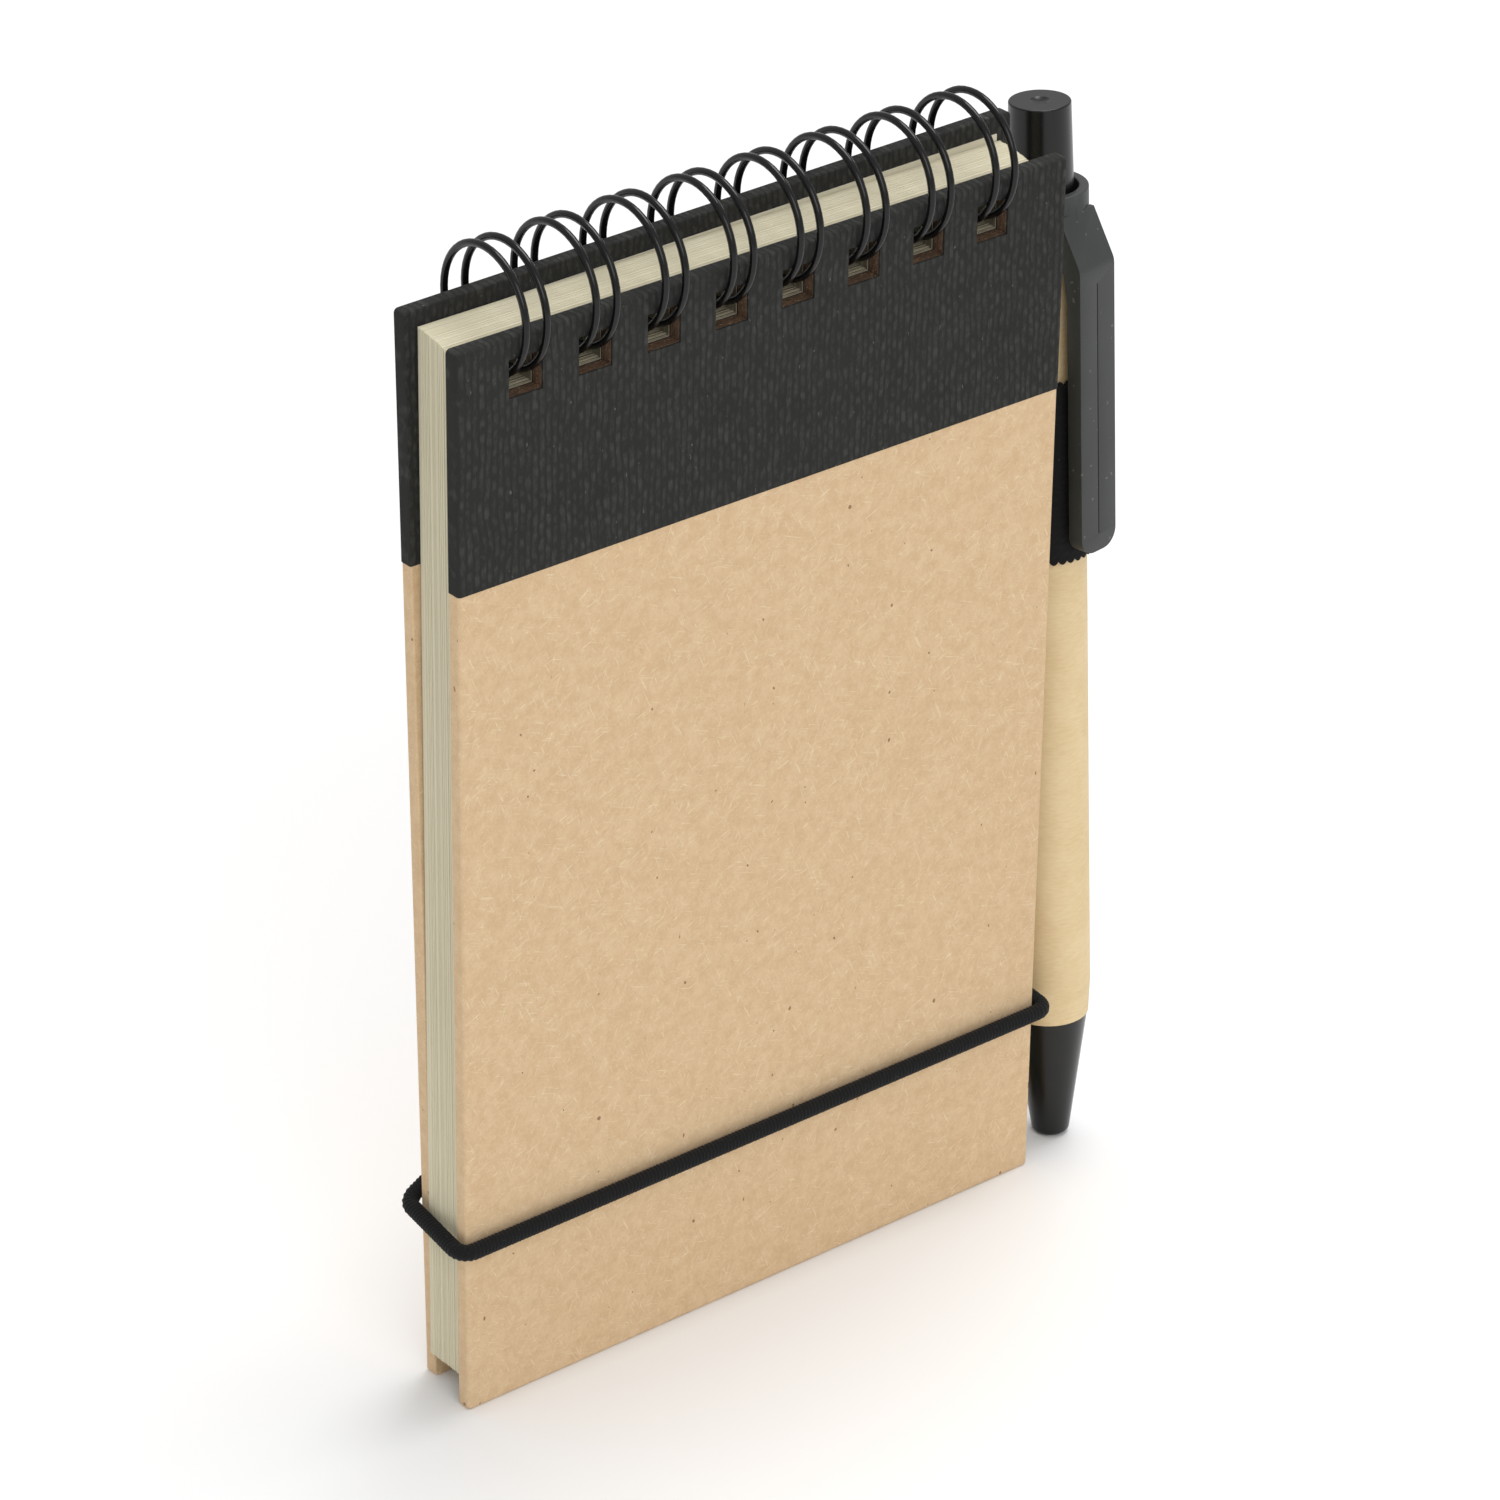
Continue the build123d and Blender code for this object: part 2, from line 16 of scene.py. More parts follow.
import bmesh
import bpy
from mathutils import Matrix, Vector


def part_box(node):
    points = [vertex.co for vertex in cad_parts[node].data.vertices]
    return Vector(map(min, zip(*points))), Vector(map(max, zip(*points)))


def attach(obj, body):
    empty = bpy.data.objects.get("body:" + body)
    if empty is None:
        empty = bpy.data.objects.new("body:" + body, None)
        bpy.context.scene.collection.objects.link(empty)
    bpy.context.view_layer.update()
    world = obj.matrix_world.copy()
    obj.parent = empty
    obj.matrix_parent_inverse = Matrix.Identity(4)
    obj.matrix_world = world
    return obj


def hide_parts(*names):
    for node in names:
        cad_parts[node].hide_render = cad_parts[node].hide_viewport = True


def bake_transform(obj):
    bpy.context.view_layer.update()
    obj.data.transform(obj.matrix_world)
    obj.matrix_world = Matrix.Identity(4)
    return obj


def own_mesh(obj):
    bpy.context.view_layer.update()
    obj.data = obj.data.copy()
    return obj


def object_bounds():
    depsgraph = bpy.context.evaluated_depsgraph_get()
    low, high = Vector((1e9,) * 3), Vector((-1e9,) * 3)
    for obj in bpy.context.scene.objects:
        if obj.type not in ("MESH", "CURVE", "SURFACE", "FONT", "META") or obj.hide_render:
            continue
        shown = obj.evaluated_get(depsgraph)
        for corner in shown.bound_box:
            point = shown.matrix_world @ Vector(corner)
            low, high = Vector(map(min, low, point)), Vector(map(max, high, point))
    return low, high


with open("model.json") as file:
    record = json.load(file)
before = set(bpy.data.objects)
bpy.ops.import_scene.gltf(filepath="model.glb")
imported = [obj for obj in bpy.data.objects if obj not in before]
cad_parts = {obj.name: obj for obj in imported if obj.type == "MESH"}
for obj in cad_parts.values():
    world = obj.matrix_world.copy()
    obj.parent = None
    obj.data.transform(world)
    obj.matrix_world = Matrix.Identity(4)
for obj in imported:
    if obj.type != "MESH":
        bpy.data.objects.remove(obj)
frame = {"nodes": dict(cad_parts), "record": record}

cad_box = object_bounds()
MM = 0.001

# %% [markdown]
# ## Where things are
#
# Every piece is placed in the sketchbook's own millimetres: x from the front cover's left edge, y from
# its face towards the back, z from the table. The kraft wrap lies 0.08 mm inside the cloth's surface, so
# its box gives that corner. The joints give the binding's centre and the pen's axis. A hair, a hundredth
# of a millimetre, is the gap below which two places count as one.

# %% The sketchbook's corner, the binding's centre and the pen's axis
HAIR = 0.01 * MM
WRAP_STEP = 0.08 * MM
kraft_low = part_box("front_kraft")[0]
CORNER = Vector((kraft_low[0] - WRAP_STEP, kraft_low[1] - WRAP_STEP, 0.0))
JOINTS = {joint["name"]: joint for joint in frame["record"]["behaviour"]["joints"]}
RING_CENTRE = Vector(JOINTS["front_cover_turn"]["pos_m"])
PEN_AXIS = Vector(JOINTS["pen_slide"]["axis"]).normalized()
PEN_LEAN = math.atan2(PEN_AXIS.y, PEN_AXIS.z)


def at(x, y, z):
    """A point given in the sketchbook's millimetres, in metres in the scene."""
    return CORNER + Vector((x, y, z)) * MM


PEN_MOUTH = at(84.5, 4.05, 0.12)
print("ring centre", RING_CENTRE[:], "pen leans", round(math.degrees(PEN_LEAN), 2), "degrees")

# %% [markdown]
# ## Camera
#
# A long lens far away keeps the covers' edges nearly parallel. The camera stands to the left, above the
# binding, and looks down on the front cover.

# %% Camera
LENS, SENSOR = 148.99, 36.0
CAMERA_PLACE = at(-316.148, -430.360, 374.947)
CAMERA_TURN = (61.0088, -0.7071, -38.9616)

camera_data = bpy.data.cameras.new("camera")
camera_data.lens = LENS
camera_data.sensor_width = SENSOR
camera = bpy.data.objects.new("camera", camera_data)
camera.location = CAMERA_PLACE
camera.rotation_euler = [math.radians(turn) for turn in CAMERA_TURN]
bpy.context.scene.collection.objects.link(camera)
bpy.context.scene.camera = camera
print("camera", round(CAMERA_PLACE.length, 3), "m from the origin")

# %% [markdown]
# ## Light and floor
#
# A white floor in a light tent: nearly even light from all round, one large soft lamp from the front
# left to shape the edges, and a smaller one that draws a thin gleam on the wire and the pen.

# %% Light and floor
FLOOR_SIZE = 4.0
WORLD_STRENGTH = 0.60
LAMP_AIM = Vector((0.0, 0.0, 0.06))
FRONT_PLACE, FRONT_SIZE, FRONT_POWER = Vector((-0.35, -0.95, 0.75)), 0.7, 4.0
TOP_PLACE, TOP_SIZE, TOP_POWER = Vector((0.35, 0.1, 1.1)), 0.6, 7.0


def soft_lamp(name, place, size, power):
    """A square area lamp that points at the sketchbook."""
    lamp_data = bpy.data.lights.new(name, "AREA")
    lamp_data.size = size
    lamp_data.energy = power
    lamp = bpy.data.objects.new(name, lamp_data)
    lamp.location = place
    lamp.rotation_euler = (LAMP_AIM - place).to_track_quat("-Z", "Y").to_euler()
    bpy.context.scene.collection.objects.link(lamp)


world = bpy.data.worlds.new("light tent")
world.use_nodes = True
sky = world.node_tree.nodes["Background"]
sky.inputs["Color"].default_value = (1.0, 1.0, 1.0, 1.0)
sky.inputs["Strength"].default_value = WORLD_STRENGTH
bpy.context.scene.world = world
bpy.context.scene.view_settings.view_transform = "Standard"
soft_lamp("front lamp", FRONT_PLACE, FRONT_SIZE, FRONT_POWER)
soft_lamp("top lamp", TOP_PLACE, TOP_SIZE, TOP_POWER)

bpy.ops.object.select_all(action="DESELECT")
bpy.ops.mesh.primitive_plane_add(size=FLOOR_SIZE, location=(0.0, 0.0, cad_box[0][2]))
floor = bpy.context.object
floor.name = "floor"
print("floor", FLOOR_SIZE, "m square")

# %% [markdown]
# ## Helpers for modelling
#
# An operator works on all that is selected, so a helper that calls one first clears the selection. Faces
# are then picked by where they are.


# %% Modelling helpers
def only(piece):
    """Makes a piece the only one selected, and the active one."""
    bpy.ops.object.select_all(action="DESELECT")
    piece.select_set(True)
    bpy.context.view_layer.objects.active = piece


def start_edit(piece):
    """Opens a piece in edit mode."""
    only(piece)
    bpy.ops.object.mode_set(mode="EDIT")


def end_edit():
    """Leaves edit mode."""
    bpy.ops.object.mode_set(mode="OBJECT")


def select_faces(piece, test):
    """Selects, in edit mode, the faces whose middle passes the test."""
    mesh = bmesh.from_edit_mesh(piece.data)
    bpy.ops.mesh.select_all(action="DESELECT")
    for face in mesh.faces:
        face.select_set(test(face.calc_center_median()))
    bmesh.update_edit_mesh(piece.data)


def apply_place(piece):
    """Puts a piece's place, turn and size into its mesh."""
    only(piece)
    bpy.ops.object.transform_apply(location=True, rotation=True, scale=True)


def copy_piece(piece, name):
    """A copy with its own mesh."""
    twin = piece.copy()
    twin.data = piece.data.copy()
    twin.name = name
    bpy.context.scene.collection.objects.link(twin)
    return twin


def join(pieces, name):
    """Makes one object of several."""
    only(pieces[0])
    for piece in pieces:
        piece.select_set(True)
    bpy.ops.object.join()
    pieces[0].name = name
    return pieces[0]


def add_modifier(piece, kind, **settings):
    """Adds a modifier, sets it and applies it."""
    only(piece)
    modifier = piece.modifiers.new(kind.title(), kind)
    for key, value in settings.items():
        setattr(modifier, key, value)
    bpy.ops.object.modifier_apply(modifier=modifier.name)


def smooth(piece, angle=60.0):
    """Shades a piece smooth, apart from edges that turn by more than the angle."""
    only(piece)
    bpy.ops.object.shade_smooth_by_angle(angle=math.radians(angle))


def give_material(piece, material):
    """Gives a piece one material in place of those it has."""
    piece.data.materials.clear()
    piece.data.materials.append(material)


# %% [markdown]
# ## Helpers for materials
#
# One function turns a paint-shop hex colour into the linear values that the renderer counts in. One
# function adds a node: its own settings, then its sockets, each given a value or another node's output.


# %% Material helpers
def linear(hex_colour):
    """An sRGB hex colour as linear red, green, blue and alpha."""
    channels = [int(hex_colour[i:i + 2], 16) / 255 for i in (1, 3, 5)]
    curve = [c / 12.92 if c <= 0.04045 else ((c + 0.055) / 1.055) ** 2.4 for c in channels]
    return (*curve, 1.0)


def add(tree, kind, settings=None, sockets=None):
    """Adds one node, with its settings and its sockets' values or links."""
    node = tree.nodes.new(kind)
    for key, value in (settings or {}).items():
        setattr(node, key, value)
    for key, value in (sockets or {}).items():
        if isinstance(value, bpy.types.NodeSocket):
            tree.links.new(value, node.inputs[key])
        else:
            node.inputs[key].default_value = value
    return node


def new_material(name, roughness, metallic=0.0, ior=1.5):
    """An empty material with its surface shader, and where its pattern is read from."""
    material = bpy.data.materials.new(name)
    material.use_nodes = True
    tree = material.node_tree
    shader = tree.nodes["Principled BSDF"]
    shader.inputs["Roughness"].default_value = roughness
    shader.inputs["Metallic"].default_value = metallic
    shader.inputs["IOR"].default_value = ior
    place = add(tree, "ShaderNodeTexCoord").outputs["Object"]
    return material, tree, shader, place


def stretched(tree, place, x, y, z):
    """The same coordinates with each direction scaled: below 1 draws a pattern out, above 1 packs it."""
    return add(tree, "ShaderNodeMapping", None, {"Vector": place, "Scale": (x, y, z)}).outputs["Vector"]


def noise(tree, place, size_mm, detail=2.0, rough=0.5):
    """Cloudy noise whose patches are about size_mm across."""
    sockets = {"Vector": place, "Scale": 1 / (size_mm * MM), "Detail": detail, "Roughness": rough}
    return add(tree, "ShaderNodeTexNoise", None, sockets).outputs["Fac"]


def ramp(tree, value, low, high, from_value=0.0, to_value=1.0):
    """Reads a value between low and high as from_value to to_value, and stops at both ends."""
    sockets = {"Value": value, "From Min": low, "From Max": high, "To Min": from_value, "To Max": to_value}
    return add(tree, "ShaderNodeMapRange", None, sockets).outputs["Result"]


def math_node(tree, operation, first, second=0.0):
    """One step of arithmetic on two numbers or sockets."""
    return add(tree, "ShaderNodeMath", {"operation": operation}, {0: first, 1: second}).outputs["Value"]


MIX_SHARE, MIX_FIRST, MIX_SECOND, MIX_RESULT = 0, 6, 7, 2  # the Mix node's sockets for colours


def mix(tree, share, first, second):
    """Goes from the first colour to the second by share."""
    node = add(tree, "ShaderNodeMix", {"data_type": "RGBA"})
    sockets = {MIX_SHARE: share, MIX_FIRST: first, MIX_SECOND: second}
    for index, value in sockets.items():
        socket = node.inputs[index]
        if isinstance(value, bpy.types.NodeSocket):
            tree.links.new(value, socket)
        else:
            socket.default_value = linear(value) if isinstance(value, str) else value
    return node.outputs[MIX_RESULT]


def relief(tree, shader, height, depth_mm):
    """Turns a height into relief: a height of 1 stands depth_mm out."""
    bump = add(tree, "ShaderNodeBump", None, {"Height": height, "Distance": depth_mm * MM})
    tree.links.new(bump.outputs["Normal"], shader.inputs["Normal"])


# %% [markdown]
# ## Bookcloth
#
# Starch-filled cotton bookcloth, dyed charcoal black and glued round the board. It is a plain weave: each
# warp thread shows as short upright ribs that dip under the weft, and its neighbour's ribs fall between
# them. The ribs stand 0.8 mm apart, wander a little, and the starch fills the gaps unevenly. It is matt,
# with a few pale specks of lint.

# %% Bookcloth
RIB_PITCH_MM, RIB_LENGTH_MM = 0.8, 0.9
RIB_WANDER, RIB_SWAY = 5.0, 6.0  # how far the ribs stray sideways and upwards, in radians of their wave
COLUMN_SHARE = 0.72  # how much of a rib's height is its upright column; the rest is its crossings
THREAD_HEIGHT = 0.8


def book_cloth():
    """Ribs in columns that break where they dip under the weft, with fine threads on top, and a painted
    highlight on the raised ribs.
    """
    material, tree, shader, place = new_material("charcoal starch-filled bookcloth", roughness=0.9)
    axes = add(tree, "ShaderNodeSeparateXYZ", None, {"Vector": place})
    wander = noise(tree, stretched(tree, place, 1, 1, 0.6), size_mm=3.0)
    drift = math_node(tree, "MULTIPLY", wander, RIB_WANDER)
    sway = math_node(tree, "MULTIPLY", noise(tree, place, size_mm=2.0), RIB_SWAY)
    across = math_node(tree, "MULTIPLY", axes.outputs["X"], math.pi / (RIB_PITCH_MM * MM))
    upward = math_node(tree, "MULTIPLY", axes.outputs["Z"], math.pi / (RIB_LENGTH_MM * MM))
    across = math_node(tree, "ADD", across, drift)
    upward = math_node(tree, "ADD", upward, sway)
    thread = math_node(tree, "SINE", across)
    column = ramp(tree, math_node(tree, "ABSOLUTE", thread), 0.0, 0.8, to_value=COLUMN_SHARE)
    crossing = math_node(tree, "MULTIPLY", thread, math_node(tree, "SINE", upward))
    crossing = ramp(tree, crossing, -0.6, 0.6, to_value=1 - COLUMN_SHARE)
    rib = math_node(tree, "ADD", column, crossing)
    fill = noise(tree, place, size_mm=1.3, detail=3.0, rough=0.6)
    threads = noise(tree, stretched(tree, place, 1, 1, 0.3), size_mm=0.2)
    height = math_node(tree, "MULTIPLY", rib, ramp(tree, fill, 0.3, 0.65, from_value=0.35))
    height = math_node(tree, "ADD", height, math_node(tree, "MULTIPLY", threads, THREAD_HEIGHT))
    patches = noise(tree, place, size_mm=7.0, detail=3.0)
    base = mix(tree, patches, "#272726", "#2F2F2E")
    # Painted highlight: the raised ribs are painted lighter, as if the light caught their tops.
    painted_rib_highlight = mix(tree, ramp(tree, height, 0.8, 1.6, to_value=0.7), base, "#4B4B48")
    lint = noise(tree, stretched(tree, place, 1, 1, 0.5), size_mm=0.42, detail=1.0)
    specks = mix(tree, ramp(tree, lint, 0.76, 0.81, to_value=0.45), painted_rib_highlight, "#7C7C78")
    tree.links.new(specks, shader.inputs["Base Color"])
    shader.inputs["Specular IOR Level"].default_value = 0.2
    relief(tree, shader, height, depth_mm=0.075)
    return material


BOOK_CLOTH = book_cloth()
print("bookcloth ribs every", RIB_PITCH_MM, "mm")

# %% [markdown]
# ## Kraft paper
#
# Unbleached kraft paper with recycled fibre: matt, one even brown, mottled at one or two millimetres.
# Thin pale fibres curl in every direction, and a dark speck of bark or old print shows here and there.

# %% Kraft paper
KRAFT_LIGHT, KRAFT_DARK, KRAFT_FIBRE = "#DABE99", "#CFB18B", "#EEDDBE"
KRAFT_DARK_FIBRE, KRAFT_SPECK = "#A37A50", "#7A5233"
PALE_FIBRES = ((0.4, 0.5), (1.2, 0.4), (2.0, 0.45), (2.8, 0.4))  # turn in radians, strength
DARK_FIBRE_TURNS, DARK_FIBRE_SHARE = (0.9, 2.4), 0.4
MOTTLE_SHARE = 0.6  # the rest of the tone is fine grain


def fibres(tree, place, turn, length_mm, width_mm, low, high):
    """Short thin streaks at one angle, bent a little by coarse noise."""
    turned = add(tree, "ShaderNodeMapping", None, {"Vector": place, "Rotation": (0.0, turn, 0.0)})
    streak = stretched(tree, turned.outputs["Vector"], width_mm / length_mm, 1.0, 1.0)
    sockets = {"Vector": streak, "Scale": 1 / (width_mm * MM), "Detail": 1.0, "Distortion": 0.6}
    return ramp(tree, add(tree, "ShaderNodeTexNoise", None, sockets).outputs["Fac"], low, high)


def kraft_paper():
    """Mottled brown, then pale and dark fibres at several angles, then flecks of bark."""
    material, tree, shader, place = new_material("recycled kraft paper", roughness=0.88)
    mottle = noise(tree, place, size_mm=1.3, detail=3.0, rough=0.6)
    grain = noise(tree, place, size_mm=0.25, detail=3.0, rough=0.65)
    tone = math_node(tree, "MULTIPLY", mottle, MOTTLE_SHARE)
    tone = math_node(tree, "ADD", tone, math_node(tree, "MULTIPLY", grain, 1 - MOTTLE_SHARE))
    colour = mix(tree, ramp(tree, tone, 0.38, 0.62), KRAFT_DARK, KRAFT_LIGHT)
    for turn, share in PALE_FIBRES:
        streaks = fibres(tree, place, turn, length_mm=1.8, width_mm=0.14, low=0.68, high=0.75)
        colour = mix(tree, math_node(tree, "MULTIPLY", streaks, share), colour, KRAFT_FIBRE)
    for turn in DARK_FIBRE_TURNS:
        dark_fibre = fibres(tree, place, turn, length_mm=1.2, width_mm=0.16, low=0.75, high=0.79)
        share = math_node(tree, "MULTIPLY", dark_fibre, DARK_FIBRE_SHARE)
        colour = mix(tree, share, colour, KRAFT_DARK_FIBRE)
    flecks = noise(tree, stretched(tree, place, 1.0, 1.0, 0.8), size_mm=0.75, detail=0.0)
    colour = mix(tree, ramp(tree, flecks, 0.835, 0.85, to_value=0.75), colour, KRAFT_SPECK)
    tree.links.new(colour, shader.inputs["Base Color"])
    shader.inputs["Specular IOR Level"].default_value = 0.2
    relief(tree, shader, grain, depth_mm=0.012)
    return material


KRAFT = kraft_paper()
print("kraft paper from", KRAFT_DARK, "to", KRAFT_LIGHT)

# %% [markdown]
# ## Boards, lining and leaves
#
# Grey board is pulped waste paper: brown-grey, fibrous and rough where it is cut, which only shows in
# the holes. The lining and the leaves are uncoated cream paper, and the walls of the leaves' holes get
# painted shade.


# %% Board and cream papers
def grey_board():
    """Pulped waste paper in layers, with pale shreds where it is cut."""
    material, tree, shader, place = new_material("recycled grey board", roughness=0.95)
    layers = noise(tree, stretched(tree, place, 0.5, 3.0, 0.5), size_mm=0.5, detail=3.0, rough=0.7)
    shreds = noise(tree, place, size_mm=0.25)
    colour = mix(tree, ramp(tree, layers, 0.35, 0.65), "#463324", "#775C44")
    colour = mix(tree, ramp(tree, shreds, 0.62, 0.72, to_value=0.8), colour, "#B89A73")
    tree.links.new(colour, shader.inputs["Base Color"])
    relief(tree, shader, shreds, depth_mm=0.12)
    return material


def cream_paper(name, light, dark):
    """Uncoated paper: a fine tooth, and clouds so faint that they only take the flatness away."""
    material, tree, shader, place = new_material(name, roughness=0.8)
    tooth = noise(tree, place, size_mm=0.12)
    clouds = noise(tree, place, size_mm=12.0)
    colour = mix(tree, ramp(tree, clouds, 0.3, 0.7), dark, light)
    tree.links.new(colour, shader.inputs["Base Color"])
    shader.inputs["Specular IOR Level"].default_value = 0.25
    relief(tree, shader, tooth, depth_mm=0.006)
    return material


def shaded_hole_walls():
    """The walls of the punched holes: painted shade, dark grey-brown with darker brown patches, one fine
    line per leaf.
    """
    material, tree, shader, place = new_material("punched hole walls with painted shade", roughness=0.95)
    lines = noise(tree, stretched(tree, place, 0.4, 4.0, 0.4), size_mm=0.5)
    # The darker brown patches are painted shade deep in the holes.
    dust_and_shade = noise(tree, place, size_mm=0.6)
    # The walls are painted dark grey-brown as shade; the fine lines mark the leaves' edges.
    colour = mix(tree, ramp(tree, lines, 0.4, 0.62), "#4A4232", "#8E8468")
    colour = mix(tree, ramp(tree, dust_and_shade, 0.5, 0.65, to_value=0.6), colour, "#5E4128")
    tree.links.new(colour, shader.inputs["Base Color"])
    relief(tree, shader, lines, depth_mm=0.05)
    return material


GREY_BOARD = grey_board()
# The walls of the punched holes, painted in shade.
SHADED_HOLE_WALLS = shaded_hole_walls()
LINING = cream_paper("cream lining paper", "#DAD4BF", "#D5CEB8")
LEAF_PAPER = cream_paper("uncoated cream sketch paper", "#DED7BE", "#DAD3B9")
print("papers ready")

# %% Give the covers their materials
for side in ("front", "back"):
    give_material(frame["nodes"][f"{side}_board"], GREY_BOARD)
    give_material(frame["nodes"][f"{side}_kraft"], KRAFT)
    give_material(frame["nodes"][f"{side}_cloth"], BOOK_CLOTH)
    give_material(frame["nodes"][f"{side}_lining"], LINING)
print("covers finished: board, kraft, cloth and lining")

# %% [markdown]
# ## The leaves
#
# The block is seventy loose leaves, each with eight square holes. The model holds them as seven blocks
# of ten; here each leaf is a sheet of its own, so that the edges show fine lines and the punched holes
# have ragged steps. One leaf is cut from a plane with the bisect tool, then copied and spread: the
# closed book is thinner at its foot, so each copy slants a little.

# %% One leaf
HOLE_PITCH, HOLE_COUNT, HOLE = 8.467, 8, 4.1
HOLE_X, HOLE_BOTTOM = 6.5, 115.4
LEAF_COUNT, LEAVES_PER_STACK, TURNED_LEAVES, LEAF_T = 70, 10, 20, 0.068
LEAF_W, LEAF_X_LOW, LEAF_X_FRONT, LEAF_X_BACK = 74.0, 0.5, 0.6, 1.7
BLOCK_FOOT_BACK_Y = 7.17
leaf_low, leaf_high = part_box("leaves_01_to_10")
block_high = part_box("leaves_61_to_70")[1]


def hole_left(number):
    """Where a hole's left side is; the holes are counted from the left."""
    return at(HOLE_X + number * HOLE_PITCH, 0, 0).x


def in_a_hole(point, margin=0.0):
    """Whether a point of a leaf lies where a hole is punched, or within a margin of it."""
    low, high = at(0, 0, HOLE_BOTTOM).z, at(0, 0, HOLE_BOTTOM + HOLE).z
    if not low - margin < point.z < high + margin:
        return False
    return any(-margin < point.x - hole_left(n) < HOLE * MM + margin for n in range(HOLE_COUNT))


def one_leaf():
    """A plane cut along the sides of its holes, with the holes then taken out."""
    middle = (at(LEAF_W / 2, 0, 0).x, 0.0, (leaf_low[2] + leaf_high[2]) / 2)
    bpy.ops.object.select_all(action="DESELECT")
    bpy.ops.mesh.primitive_plane_add(size=1, location=middle, rotation=(math.pi / 2, 0, 0))
    leaf = bpy.context.object
    leaf.scale = (LEAF_W * MM, leaf_high[2] - leaf_low[2], 1.0)
    apply_place(leaf)
    start_edit(leaf)
    cuts = [(hole_left(n) + side * HOLE * MM, 0) for n in range(HOLE_COUNT) for side in (0, 1)]
    cuts += [(at(0, 0, HOLE_BOTTOM + side * HOLE).z, 2) for side in (0, 1)]
    for place, axis in cuts:
        point, normal = [0.0, 0.0, 0.0], [0.0, 0.0, 0.0]
        point[axis], normal[axis] = place, 1.0
        bpy.ops.mesh.select_all(action="SELECT")
        bpy.ops.mesh.bisect(plane_co=point, plane_no=normal)
    select_faces(leaf, in_a_hole)
    bpy.ops.mesh.delete(type="FACE")
    end_edit()
    print("one leaf has", len(leaf.data.polygons), "faces")
    return leaf


# %% Seventy leaves in seven blocks
random.seed(7)
LEAF_FRONT_Y = leaf_low[1]
BLOCK_TOP_T = block_high[1] - leaf_low[1]
BLOCK_FOOT_T = at(0, BLOCK_FOOT_BACK_Y, 0).y - leaf_low[1]
CURL_DROP, CURL_LEAVES, SLIP = 0.9 * MM, 5.0, 0.07 * MM
NEAR_EDGE = 0.1 * MM


def leaf_y(number, z):
    """How far back a leaf lies at a height: the block is thinner at its foot than at its top."""
    share = (z - leaf_low[2]) / (leaf_high[2] - leaf_low[2])
    thickness = BLOCK_FOOT_T + (BLOCK_TOP_T - BLOCK_FOOT_T) * share
    return LEAF_FRONT_Y + thickness * (number + 0.5) / LEAF_COUNT


def leaf_left(number, z):
    """How far right a leaf's sides lie at a height: the block fans out towards its back and its top."""
    share = (z - leaf_low[2]) / (leaf_high[2] - leaf_low[2])
    top = LEAF_X_FRONT + (LEAF_X_BACK - LEAF_X_FRONT) * number / LEAF_COUNT
    return (LEAF_X_LOW + (top - LEAF_X_LOW) * share) * MM


def leaf_block(pattern, first):
    """Ten leaves, a hair out of line with each other, as one object."""
    leaves = []
    for number in range(first, first + LEAVES_PER_STACK):
        leaf = copy_piece(pattern, f"leaf_{number + 1:02d}")
        slip_x, slip_z = random.uniform(-SLIP, SLIP), random.uniform(-SLIP, 0.0)
        curl = CURL_DROP * math.exp(-number / CURL_LEAVES)
        edges = (at(0, 0, 0).x + HAIR, at(LEAF_W, 0, 0).x - HAIR)
        for vertex in leaf.data.vertices:
            outer = vertex.co.x < edges[0] or vertex.co.x > edges[1]
            top = vertex.co.z > leaf_high[2] - NEAR_EDGE
            if outer:
                vertex.co.x += leaf_left(number, vertex.co.z) + slip_x
            vertex.co.y = leaf_y(number, vertex.co.z)
            vertex.co.z += slip_z - (curl if top else 0.0)
        leaves.append(leaf)
    block = join(leaves, f"sheets_{first + 1:02d}_to_{first + LEAVES_PER_STACK:02d}")
    add_modifier(block, "SOLIDIFY", thickness=LEAF_T * MM, offset=0.0)
    give_material(block, LEAF_PAPER)
    # The second material paints shade on the walls of the punched holes.
    block.data.materials.append(SHADED_HOLE_WALLS)
    for face in block.data.polygons:
        cut_edge = abs(face.normal.y) < 0.5
        face.material_index = 1 if cut_edge and in_a_hole(face.center, NEAR_EDGE) else 0
    return block


pattern_leaf = one_leaf()
for first in range(0, LEAF_COUNT, LEAVES_PER_STACK):
    node = f"leaves_{first + 1:02d}_to_{first + LEAVES_PER_STACK:02d}"
    block = leaf_block(pattern_leaf, first)
    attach(block, "turned_leaves" if first < TURNED_LEAVES else "back_cover")
    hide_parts(node)
bpy.data.objects.remove(pattern_leaf)
print(LEAF_COUNT, "leaves made")

# %% [markdown]
# ## The twin-loop wire
#
# The binding is one nylon-coated steel wire, bent flat into a comb of double fingers and then closed
# into rings. Each finger is a leg over the binding, a tight turn at its tip inside the front cover's
# hole, and a leg back; a short straight stretch behind the back cover leads to the next. So one finger
# is drawn by carrying a small circle along: extrude for the straight stretches, spin for the bends.
# The other seven are copies, merged where they meet.

# %% One finger of the wire
WIRE_R, RING_R, BEND_R = 0.4 * MM, 6.6 * MM, 0.8 * MM
FINGER_X = 8.6
TIP_GAP, BASE_GAP = 1.0, 2.5
BASE_ANGLE, TIP_ANGLE = 276.0, -56.0
SPREAD_OVER, BEHIND_TIP = 75.0, 20.0  # degrees after the tip where the legs part, and before it
WIRE_SIDES, LEG_STEPS, BEND_STEPS = 12, 44, 7


def ring_point(angle):
    """A point of the ring by its angle from straight down, turning towards the front."""
    turn = math.radians(angle)
    return RING_CENTRE + Vector((0.0, -RING_R * math.sin(turn), -RING_R * math.cos(turn)))


